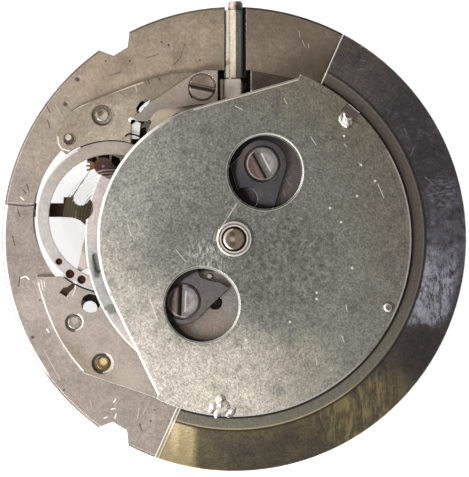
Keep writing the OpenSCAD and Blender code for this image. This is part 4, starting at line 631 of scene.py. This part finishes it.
@finish("screw", "worn_screw", (112, 99, 90), 0.8, 0.36)
def screw_metal(f):
    """Worn screw heads: darker than the bridges, painted lighter on the side towards the light, with
    painted shade in the slot.
    """
    f.layer(f.cloud(0.5, 0.45, 0.7, 3, seed=3), (140, 126, 116), 0.5)
    # the screw of the spring plate
    x, y = PLATE_SCREW
    head = f.near(x, y, 0.9, 0.1)
    f.layer(head, (146, 128, 115), 0.9)
    # a painted highlight on the side towards the light, and a light spot
    f.layer(f.all_of(head, f.beside(x, y, 260, 0.15, 1)), (190, 173, 162), 0.7)
    f.layer(f.all_of(head, f.spot(213, 80, 0.3, 0.6)), (196, 176, 156), 0.7)
    # the small one in the nose of the bridge
    x, y = NOSE_SCREW
    # the head painted pale against the shade of its recess, with a light dot and a crescent of painted
    # shadow
    f.layer(f.near(x, y, 0.42, 0.1), (236, 222, 200))
    f.layer(f.spot(68.6, 137.6, 0.09, 0.5), (236, 224, 206), 0.9)
    shadow_crescent = f.all_of(f.near(x, y, 0.3, 0.1), f.between(f.radius_of(*at_pixel(68.2, 137.4)), 0.15, 0.19))
    f.layer(shadow_crescent, (52, 45, 38), 0.9)
    f.grain(0.14, 0.16, 31, 0.003)
    f.grain(0.5, 0.14, 32)
    x, y = PLATE_SCREW
    # the slot painted dark as shade
    slot = f.beside(x, y, 78, -0.14, 0.05)
    f.layer(f.all_of(slot, f.near(x, y, 0.9, 0.1)), (38, 30, 27), 0.85)


@finish("big_screw", "bright_screw", (112, 97, 90), 0.75, 0.34)
def big_screw_metal(f):
    """The two screws under the openings: brown on one side of the slot, bright on the other, with painted
    shade on the slot's wall and painted highlights on its edge, an inner ring and the rim.
    """
    # middle, the slot's crosswise direction, its wall painted dark as shade and its edge with a painted
    # highlight, in mm from the middle
    places = ((262.8, 164, 27.7, (-0.29, -0.16), (0.17, 0.24)),
              (184, 301.5, -2, (-0.34, -0.12), (0.05, 0.12)))
    for px, py, angle, dark, lit in places:
        x, y = at_pixel(px, py)
        here = f.near(x, y, 1.15, 0.05)
        f.layer(f.all_of(here, f.beside(x, y, angle, dark[1], 2)), (146, 141, 137))
        # a painted highlight on a ring round the middle, on the bright side
        glow = f.all_of(here, f.annulus(x, y, 0.36, 0.62, 0.1), f.beside(x, y, angle, lit[1], 2))
        f.layer(glow, (196, 190, 188), 0.6)
        warm = f.all_of(here, f.beside(x, y, angle, dark[0] - 0.22, dark[0] - 0.08))
        f.layer(warm, (150, 130, 116), 0.5)
    f.grain(0.15, 0.16, 35, 0.003)
    f.grain(0.4, 0.12, 36)
    for px, py, angle, dark, lit in places:
        x, y = at_pixel(px, py)
        here = f.near(x, y, 1.15, 0.05)
        f.layer(f.all_of(here, f.beside(x, y, angle, *dark)), (36, 28, 25), 0.95)
        f.layer(f.all_of(f.near(x, y, 0.6, 0.1), f.beside(x, y, angle, *lit)), (246, 242, 236), 0.95)
        # a painted highlight on the rim at the lower left
        edge = f.all_of(f.annulus(x, y, 0.83, 0.9, 0.015), f.beside(x, y, 205, 0.1, 2))
        f.layer(edge, (216, 198, 188), 0.8)
    painted_rim_shadow(f)


@finish("stem", "stem_steel", (242, 224, 198), 0.25, 0.42)
def stem_metal(f):
    """Worn steel with painted reflections: a white glint, a darker seam and a cream face at the left, grey
    at the right, and painted shade at the right edge.
    """
    # painted reflections across the stem, then painted shade at its right edge
    f.layer(f.between(f.along(0, -0.36, -0.3), 0.6, 0.2), (255, 252, 236))
    f.layer(f.along(0, -0.33, -0.28), (206, 190, 158))
    f.layer(f.along(0, -0.24, -0.2), (250, 230, 206))
    f.layer(f.along(0, 0.07, 0.12), (104, 107, 104))
    f.layer(f.along(0, 0.4, 0.46), (60, 60, 58), 0.8)
    f.layer(f.all_of(f.along(90, 12.5, 12.7), f.along(0, 0.0, 0.1), f.cloud(0.2, 0.4, 0.5, 2, seed=91)),
            (44, 48, 44), 0.7)
    lengthwise = f.stretched(0, (2.2, 0.3, 1))
    f.grain(0.22, 0.2, 25, 0.003, place=lengthwise)
    f.grain(0.12, 0.16, 26)
    f.layer(f.spot(227, 63, 0.16, 0.5, ragged=0.1, size=0.2), (138, 100, 56), 0.6)


@finish("under", "blackened_steel", (84, 81, 83), 0.75, 0.42)
def under_metal(f):
    f.layer(f.near(*ACCESS[1], 2.4, 0.3), (110, 105, 102), 0.9)
    f.layer(f.spot(246, 158, 1.0, 0.5, ragged=0.4), (112, 100, 92), 0.6)
    f.layer(f.spot(236, 180, 0.9, 0.6, ragged=0.2), (66, 66, 74), 0.5)
    f.grain(0.14, 0.16, 28, 0.003)
    f.grain(0.6, 0.14, 29)
    painted_rim_shadow(f)


@finish("ruby", "garnet", (96, 26, 30), 0.0, 0.14)
def ruby_stone(f):
    f.bsdf.inputs["Transmission Weight"].default_value = 0.3
    f.bsdf.inputs["IOR"].default_value = 1.76
    f.layer(f.cloud(0.25, 0.4, 0.8, 3), (58, 16, 18))


@finish("pins", "pin_steel", (168, 158, 146), 0.8, 0.3)
def pin_metal(f):
    f.grain(0.16, 0.16, 37, 0.003)
    f.layer(f.spot(102.4, 363, 0.7, 0.1), (128, 104, 66))
    # painted highlights on the pin tops, with painted shade on one side of the upper pin
    f.layer(f.spot(103.5, 361.5, 0.2, 0.4), (238, 214, 160))
    f.layer(f.spot(104.5, 116, 0.22, 0.5), (224, 212, 192), 0.9)
    f.layer(f.spot(100.5, 113, 0.16, 0.5), (98, 88, 76), 0.8)
    f.layer(f.spot(75, 320, 0.2, 0.5), (214, 204, 188), 0.7)


@finish("worn_edge", "worn_edge", (92, 80, 68), 0.6, 0.34)
def worn_edge(f):
    """Arrises with a painted highlight where they face the light at the left, and brown as painted shade
    where they face away from it.
    """
    f.layer(f.turned_to(LIT_SIDE, 0.36, 0.72), EDGE_HIGHLIGHT)
    f.grain(0.3, 0.14, 40)


@finish("ring_edge", "ring_edge", (128, 114, 100), 0.6, 0.36)
def ring_edge(f):
    """The plate's arrises: a painted highlight where they face the light at the left, with a fine dark line
    outside.
    """
    f.layer(f.turned_to(LIT_SIDE, 0.36, 0.72), EDGE_HIGHLIGHT)
    f.layer(f.between(f.radius_of(), 12.955, 12.975), (96, 84, 74), 0.85)
    f.grain(0.3, 0.14, 41)


@finish("rotor_edge", "rotor_edge", (62, 55, 48), 0.6, 0.36)
def rotor_edge(f):
    """The rotor plate's arrises with painted highlights, white where they face the left and cream where
    they face up, dark as painted shade at the right; plate-coloured round the hub, with a pale painted
    highlight round the two round openings.
    """
    f.layer(f.turned_to((-0.6, 0.75, 0.4), 0.45, 0.8), (222, 210, 190))
    f.layer(f.turned_to(LIT_SIDE, 0.36, 0.72), EDGE_HIGHLIGHT)
    f.layer(f.between(f.radius_of(), 1.4, 1.3), (126, 123, 114))
    for x, y in ACCESS:
        f.layer(f.between(f.radius_of(x, y), ACCESS_R + 0.3, ACCESS_R + 0.2), (206, 203, 194))
    f.grain(0.3, 0.14, 42)


@finish("dark_edge", "dark_edge", (34, 29, 28), 0.6, 0.4)
def dark_edge(f):
    # near black as painted shade, with a painted highlight where the edges face the upper left
    f.layer(f.turned_to((-0.75, 0.35, 0.6), 0.55, 0.85), (186, 168, 156), 0.8)
    f.grain(0.3, 0.14, 43)


@finish("solder", "solder", (176, 162, 152), 0.6, 0.32)
def solder(f):
    """Set solder, with a painted highlight where it faces the light and painted shade in its lee."""
    f.layer(f.turned_to((0.8, -0.5, 0.15), 0.3, 0.75), (62, 50, 44), 0.85)
    f.layer(f.turned_to((-0.6, 0.35, 0.7), 0.6, 0.88), (255, 253, 250), 0.95)
    f.grain(0.2, 0.14, 45, 0.002)


@finish("lug", "lug", (96, 86, 79), 0.6, 0.36)
def lug_metal(f):
    """A slab bent over at the upper rivet, with a painted highlight on its far edge, which faces the upper
    right, and painted shade on its faces towards the lower left.
    """
    f.layer(f.turned_to((0.5, 0.6, 0.5), 0.6, 0.85), (246, 240, 232))
    f.layer(f.turned_to((-0.6, -0.6, 0.3), 0.5, 0.8), (54, 46, 42), 0.9)
    f.grain(0.14, 0.2, 46, 0.003)


@finish("cover", "cover", (255, 242, 230), 0.1, 0.5)
def cover_metal(f):
    """The pale slab over the winding pinion, with a painted highlight along its left edge and painted shade
    towards its right edge.
    """
    f.grain(0.2, 0.08, 47, 0.002)
    f.layer(f.lines(0.06, (225.2, 82, 225.2, 94)), (255, 255, 250))
    f.layer(f.along(0, 0.3, 0.42), (170, 154, 140), 0.5)


@finish("tube", "hub_tube", (138, 126, 115), 0.7, 0.36)
def tube_metal(f):
    """The hub's tube: painted highlights as a line round the outer edge and one beside the bore, a grey
    face, and the bore painted dark as shade.
    """
    f.layer(f.annulus(0, 0, 0.72, 0.79, 0.012), (226, 216, 204))
    f.layer(f.between(f.radius_of(), 0.7, 0.67), (34, 27, 23))
    f.layer(f.between(f.radius_of(), 0.88, 0.9), (238, 235, 228))
    f.grain(0.16, 0.14, 48, 0.002)


@finish("shaft", "shaft_end", (126, 114, 99), 0.65, 0.36)
def shaft_metal(f):
    """The worn end of the rotor's shaft, with a painted highlight at its left."""
    x, y = at_pixel(233.3, 239.5)
    left = f.all_of(f.between(f.radius_of(x + 0.12, y), 0.5, 0.62), f.beside(x, y, 180, 0.0, 1))
    f.layer(left, (244, 232, 210), 0.9)
    for px, py, r in ((232.5, 234, 0.16), (232.5, 244, 0.17)):
        f.layer(f.spot(px, py, r, 0.6), (84, 68, 46), 0.8)
    f.layer(f.spot(232.5, 239.3, 0.12, 0.6), (206, 192, 168), 0.6)
    f.grain(0.16, 0.16, 49, 0.002)


@finish("pale", "pale_hairspring", (214, 208, 200), 0.5, 0.4)
def hairspring_metal(f):
    """Pale coils, greased olive where they lie over the hub."""
    over = f.any_of(f.inside((62, 195), (62, 217), (76, 217.6), (76, 195)),
                    f.inside((76, 195), (76, 217.6), (98, 236), (98, 195)))
    over = f.all_of(over, f.between(f.radius_of(*at_pixel(79.5, 198)), 0.4, 0.43))
    f.layer(over, (84, 77, 58))


# Plain finishes: key, name, colour, how metallic and rough it is, a seed and the strength of its grain
PLAIN = [
    ("cover_side", "cover_side", (206, 186, 164), 0.2, 0.5, 6.5, 0.1),
    ("slot_gear", "slot_gear", (150, 150, 138), 0.5, 0.5, 6.8, 0.3),
    ("steel", "bright_steel", (166, 160, 152), 0.8, 0.32, 4, 0.14),
    ("post", "polished_post", (250, 248, 242), 0.3, 0.4, 4.5, 0.04),
    ("clutch", "clutch_steel", (226, 208, 196), 0.3, 0.45, 6, 0.1),
    ("brass", "train_brass", (150, 122, 72), 0.8, 0.36, 7, 0.2),
    ("gold", "gilt", (186, 158, 104), 0.8, 0.32, 8, 0.14),
    ("dull", "dull_bronze", (96, 78, 62), 0.8, 0.42, 8.5, 0.24),
    ("spring", "spring_steel", (112, 110, 112), 0.8, 0.3, 9, 0.14),
    ("dark_wire", "dark_wire", (38, 30, 27), 0.8, 0.4, 13, 0.14),
]
for key, name, colour, metallic, rough, seed, contrast in PLAIN:
    f = Finish(name, colour, metallic, rough)
    blotch = tuple(int(c * 0.72) for c in colour)
    f.layer(f.cloud(0.7, 0.5, 0.8, 4, seed=seed), blotch, 0.4)
    f.grain(0.12, contrast, seed + 0.5, 0.002)
    f.grain(0.36, contrast * 0.6, seed + 0.7)
    METALS[key] = f.done()

# The nodes that have each finish. The others are bright steel
DRESS = {
    "ring": "mainplate",
    "upper": "upper_bridge",
    "lower": "lower_bridge balance_cock",
    "spring_plate": "setting_spring_plate",
    "auto": "automatic_plate",
    "rim": "balance_wheel",
    "rotor": "rotor_plate rotor_rivets",
    "weight": "rotor_weight",
    "under": "rotor_bridge",
    "pale": "hairspring",
    "tube": "rotor_tube",
    "shaft": "rotor_screw",
    "screw": "bridge_screws balance_cock_screw setting_plate_screw automatic_screws",
    "big_screw": "rotor_bridge_screws",
    "pins": "bridge_pins",
    "post": "window_post",
    "stem": "winding_stem",
    "clutch": "sliding_clutch",
    "ruby": "jewels pallet_stones",
    "gold": "impulse_roller barrel_lid hour_wheel",
    "dull": "pallet_bridge",
    "spring": "mainspring click_spring yoke_spring",
    "brass": "pallet_fork fourth_wheel third_wheel centre_wheel barrel_drum minute_wheel reduction_wheel",
}
METAL_OF = {node: metal for metal, dressed in DRESS.items() for node in dressed.split()}

# Rounded edges in mm, for the parts whose edges catch the light, and what their edges look like
SOFT_EDGES = {
    "mainplate": (0.05, "ring_edge"), "upper_bridge": (0.06, "worn_edge"),
    "lower_bridge": (0.09, "worn_edge"), "balance_wheel": (0.04, None),
    "rotor_plate": (0.05, "rotor_edge"), "rotor_weight": (0.06, None),
    "automatic_plate": (0.06, "worn_edge"), "rotor_bridge": (0.08, "dark_edge"),
    "rotor_bridge_screws": (0.05, None), "rotor_screw": (0.04, "dark_edge"),
    "rotor_tube": (0.03, None), "rotor_rivets": (0.06, "worn_edge"), "winding_stem": (0.03, None),
    "setting_spring_plate": (0.05, "worn_edge"), "bridge_screws": (0.05, "dark_edge"),
    "setting_plate_screw": (0.05, "dark_edge"), "sliding_clutch": (0.05, None),
    "bridge_pins": (0.03, None), "window_post": (0.03, None),
}


def soften(obj, width, edge):
    """Rounds the edges, and gives the rounding an edge finish where one is named, with painted highlight
    and shade.
    """
    weld = obj.modifiers.new("weld", "WELD")
    weld.merge_threshold = 1e-6
    flat = obj.modifiers.new("flat", "DECIMATE")
    flat.decimate_type = "DISSOLVE"
    flat.angle_limit = math.radians(0.5)
    bevel = obj.modifiers.new("bevel", "BEVEL")
    bevel.width = width * MM
    bevel.segments = 2
    bevel.limit_method = "ANGLE"
    bevel.angle_limit = math.radians(35)
    bevel.harden_normals = True
    bevel.use_clamp_overlap = True
    if edge:
        obj.data.materials.append(METALS[edge])
        bevel.material = len(obj.data.materials) - 1


for name, obj in nodes.items():
    metal = METALS[METAL_OF.get(name, "steel")]
    for slot in obj.material_slots:
        slot.material = metal
    if not obj.material_slots:
        obj.data.materials.append(metal)
    if name in SOFT_EDGES:
        soften(obj, *SOFT_EDGES[name])


# Small pieces that the plain solids do not have

ROTOR_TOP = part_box("rotor_plate")[1].z / MM
AUTO_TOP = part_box("automatic_plate")[1].z / MM
BRIDGE_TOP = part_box("upper_bridge")[1].z / MM


def place_piece(name, data, metal, body):
    obj = bpy.data.objects.new(name, data)
    bpy.context.scene.collection.objects.link(obj)
    data.materials.append(METALS[metal])
    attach(obj, body)


def finish_mesh(name, bm, metal, body, smooth=False):
    """Makes a piece of a mesh in mm that rides on a body."""
    bmesh.ops.scale(bm, verts=bm.verts, vec=(MM, MM, MM))
    mesh = bpy.data.meshes.new(name)
    bm.to_mesh(mesh)
    bm.free()
    for face in mesh.polygons:
        face.use_smooth = smooth
    place_piece(name, mesh, metal, body)


def set_down(bm, px, py, z, turn):
    """Turns a mesh in mm and moves it over a pixel of the photograph."""
    bmesh.ops.rotate(bm, verts=bm.verts, matrix=Matrix.Rotation(math.radians(turn), 3, "Z"))
    bmesh.ops.translate(bm, verts=bm.verts, vec=(*at_pixel(px, py), z))


def lump(name, px, py, size, height, seed, stretch, turn):
    """A set drop of solder on the rotor plate, ragged at its foot and flat underneath."""
    bm = bmesh.new()
    bmesh.ops.create_icosphere(bm, subdivisions=4, radius=1.0)
    for v in bm.verts:
        d = v.co.normalized()
        coarse = noise.noise(d * 1.7 + Vector((seed, 0, 0)))
        fine = noise.noise(d * 4 + Vector((0, seed, 0)))
        swell = 1 + 0.3 * coarse + 0.06 * fine
        v.co = Vector((d.x * size * stretch, d.y * size, max(d.z, -0.12) * height)) * swell
    set_down(bm, px, py, ROTOR_TOP, turn)
    finish_mesh(name, bm, "solder", "rotor", smooth=True)


def block(name, px, py, z, size, turn, metal, body, edge=0.04):
    """A small slab with rounded edges, turned on the surface it sits on."""
    bm = bmesh.new()
    bmesh.ops.create_cube(bm, size=1.0)
    bmesh.ops.scale(bm, verts=bm.verts, vec=size)
    bmesh.ops.bevel(bm, geom=list(bm.edges), offset=edge, segments=3, profile=0.5, affect="EDGES")
    set_down(bm, px, py, z, turn)
    finish_mesh(name, bm, metal, body)


def skin(bm, rings):
    """Faces between closed rings of corners, and caps on both ends."""
    for low, high in zip(rings, rings[1:]):
        for i in range(len(low)):
            k = (i + 1) % len(low)
            bm.faces.new((low[i], low[k], high[k], high[i]))
    bm.faces.new(rings[-1])
    bm.faces.new(list(reversed(rings[0])))


def bar(name, profile, y0, y1, metal, body):
    """A straight bar along the stem: its profile's x and z in mm, from one y to another."""
    bm = bmesh.new()
    skin(bm, [[bm.verts.new((x, y, z)) for x, z in profile] for y in (y0, y1)])
    bmesh.ops.recalc_face_normals(bm, faces=bm.faces)
    finish_mesh(name, bm, metal, body)


def turned(name, px, py, profile, metal, body, steps=48):
    """A piece turned on a lathe: radius and height in mm, from the foot up to the middle of the top."""
    x, y = at_pixel(px, py)
    bm = bmesh.new()
    angles = [2 * math.pi * i / steps for i in range(steps)]
    skin(bm, [[bm.verts.new((x + r * math.cos(a), y + r * math.sin(a), z)) for a in angles]
              for r, z in profile])
    finish_mesh(name, bm, metal, body)


def wire(name, points, radius, metal, body):
    """A thin round wire through points in mm."""
    curve = bpy.data.curves.new(name, "CURVE")
    curve.dimensions = "3D"
    curve.bevel_depth = radius * MM
    curve.bevel_resolution = 4
    curve.use_fill_caps = True
    spline = curve.splines.new("BEZIER")
    spline.bezier_points.add(len(points) - 1)
    for point, place in zip(spline.bezier_points, points):
        point.co = Vector(place) * MM
        point.handle_left_type = point.handle_right_type = "AUTO"
    place_piece(name, curve, metal, body)


# solder and peened metal at the two rough rivets
lump("solder_upper", 346.5, 122, 0.38, 0.12, 3.0, 1.0, 30)
lump("solder_upper_drop", 341, 118.5, 0.14, 0.1, 6.0, 1.7, 80)
block("peened_lug", 351, 112, ROTOR_TOP + 0.05, (0.86, 0.56, 0.16), -39, "lug", "rotor")
LOWER_DROPS = [(220.5, 399, 0.27, 0.12, 1.0), (214.5, 406.5, 0.26, 0.12, 1.1), (223, 407, 0.3, 0.12, 1.2),
               (220, 404.5, 0.26, 0.16, 1.0), (231, 412.5, 0.2, 0.1, 1.9), (218, 413.5, 0.2, 0.1, 1.6),
               (211, 411, 0.16, 0.08, 1.0)]
for i, (px, py, size, height, stretch) in enumerate(LOWER_DROPS):
    lump(f"solder_lower_{i + 1}", px, py, size, height, 11.0 + i * 2.3, stretch, 12 * i)

# the thin wire over the slot of the upper bridge
SLOT_WIRE = [(125, 136.5, 0.04), (129, 134.2, 0.06), (134, 134.6, 0.05), (139.5, 136.4, 0.03)]
wire("slot_wire", [(*at_pixel(px, py), BRIDGE_TOP + rise) for px, py, rise in SLOT_WIRE], 0.045,
     "dark_wire", "plate")

# the faceted guide that covers the stem in its slot, and pale slabs over the winding pinion
GUIDE = [(-0.545, 1.8), (-0.545, 1.94), (-0.48, 1.98), (-0.476, 2.4), (-0.45, 2.44), (-0.34, 2.46),
         (-0.22, 2.46), (0.09, 2.46), (0.4, 2.4), (0.5, 2.3), (0.54, 2.1), (0.57, 1.98), (0.68, 1.94),
         (0.68, 1.8)]
bar("stem_guide", GUIDE, 9.03, 12.82, "stem", "plate")
block("pinion_cover", 232.7, 89.2, 2.5, (0.98, 1.18, 0.3), 0, "cover", "plate", edge=0.14)
block("pinion_cover_side", 221.6, 89.5, 2.44, (0.2, 1.14, 0.24), 0, "cover_side", "plate")

# what shows in the slot of the automatic plate
block("slot_gear", 96.3, 266.5, AUTO_TOP - 0.38, (0.86, 1.8, 0.08), 12, "slot_gear", "plate")

# the shaft's end in the hub's tube
SHAFT_END = [(0.6, 5.56), (0.6, 5.62), (0.57, 5.66), (0.5, 5.68), (0.25, 5.69)]
turned("shaft_end", 233.7, 239.2, SHAFT_END, "shaft", "rotor")

# a small pin beside the rotor bridge, seen through the lower opening
PIN = [(0.17, AUTO_TOP - 0.1), (0.17, AUTO_TOP + 0.12), (0.13, AUTO_TOP + 0.16)]
turned("plate_pin", 209.5, 276.5, PIN, "solder", "plate")


# Floor, light and camera

FLOOR_HALF = 0.6
WHITE = 0.8


def pale_floor():
    """A plain pale floor that shows white to the camera and in the metal, and keeps the shadow."""
    mesh = bpy.data.meshes.new("floor")
    half = FLOOR_HALF
    corners = [(-half, -half, 0), (half, -half, 0), (half, half, 0), (-half, half, 0)]
    mesh.from_pydata(corners, [], [(0, 1, 2, 3)])
    floor = bpy.data.objects.new("floor", mesh)
    floor.location.z = cad_box[0].z
    bpy.context.scene.collection.objects.link(floor)
    mat = bpy.data.materials.new("pale_floor")
    mat.use_nodes = True
    tree = mat.node_tree
    tree.nodes.clear()
    kinds = ("BsdfDiffuse", "Emission", "LightPath", "AddShader", "OutputMaterial")
    diffuse, glow, rays, add, out = [tree.nodes.new("ShaderNode" + kind) for kind in kinds]
    diffuse.inputs["Color"].default_value = (WHITE, WHITE, WHITE, 1)
    seen = math_node(tree, "MAXIMUM", rays.outputs["Is Camera Ray"], rays.outputs["Is Glossy Ray"])
    seen = math_node(tree, "MAXIMUM", seen, rays.outputs["Is Transmission Ray"])
    tree.links.new(math_node(tree, "MULTIPLY", seen, WHITE), glow.inputs["Strength"])
    tree.links.new(diffuse.outputs[0], add.inputs[0])
    tree.links.new(glow.outputs[0], add.inputs[1])
    tree.links.new(add.outputs[0], out.inputs["Surface"])
    mesh.materials.append(mat)


def studio():
    world = bpy.data.worlds.new("studio")
    world.use_nodes = True
    bpy.context.scene.world = world
    back = world.node_tree.nodes["Background"]
    back.inputs["Color"].default_value = (1.0, 0.985, 0.96, 1)
    back.inputs["Strength"].default_value = 0.5


def softbox(name, place, aim, size, watts):
    """A round lamp at a place in mm that looks at another."""
    light = bpy.data.lights.new(name, "AREA")
    light.shape = "DISK"
    light.size = size * MM
    light.energy = watts
    obj = bpy.data.objects.new(name, light)
    obj.location = Vector(place) * MM
    toward = (Vector(aim) - Vector(place)).normalized()
    obj.rotation_euler = toward.to_track_quat("-Z", "Y").to_euler()
    bpy.context.scene.collection.objects.link(obj)


def camera():
    """Looks straight down on what the photograph shows, without perspective."""
    cam = bpy.data.cameras.new("camera")
    cam.type = "ORTHO"
    cam.ortho_scale = PHOTO[1] * PIXEL * MM
    cam.clip_start = 0.001
    cam.clip_end = 10
    obj = bpy.data.objects.new("camera", cam)
    x, y = at_pixel(PHOTO[0] / 2, PHOTO[1] / 2)
    obj.location = (x * MM, y * MM, 0.2)
    bpy.context.scene.collection.objects.link(obj)
    bpy.context.scene.camera = obj


pale_floor()
studio()
softbox("key", (-34, -30, 62), (-2, -2, 3), 34, 0.035)
softbox("side", (-80, 20, 46), (0, 0, 3), 50, 0.03)
camera()
bpy.context.scene.view_settings.view_transform = "Standard"
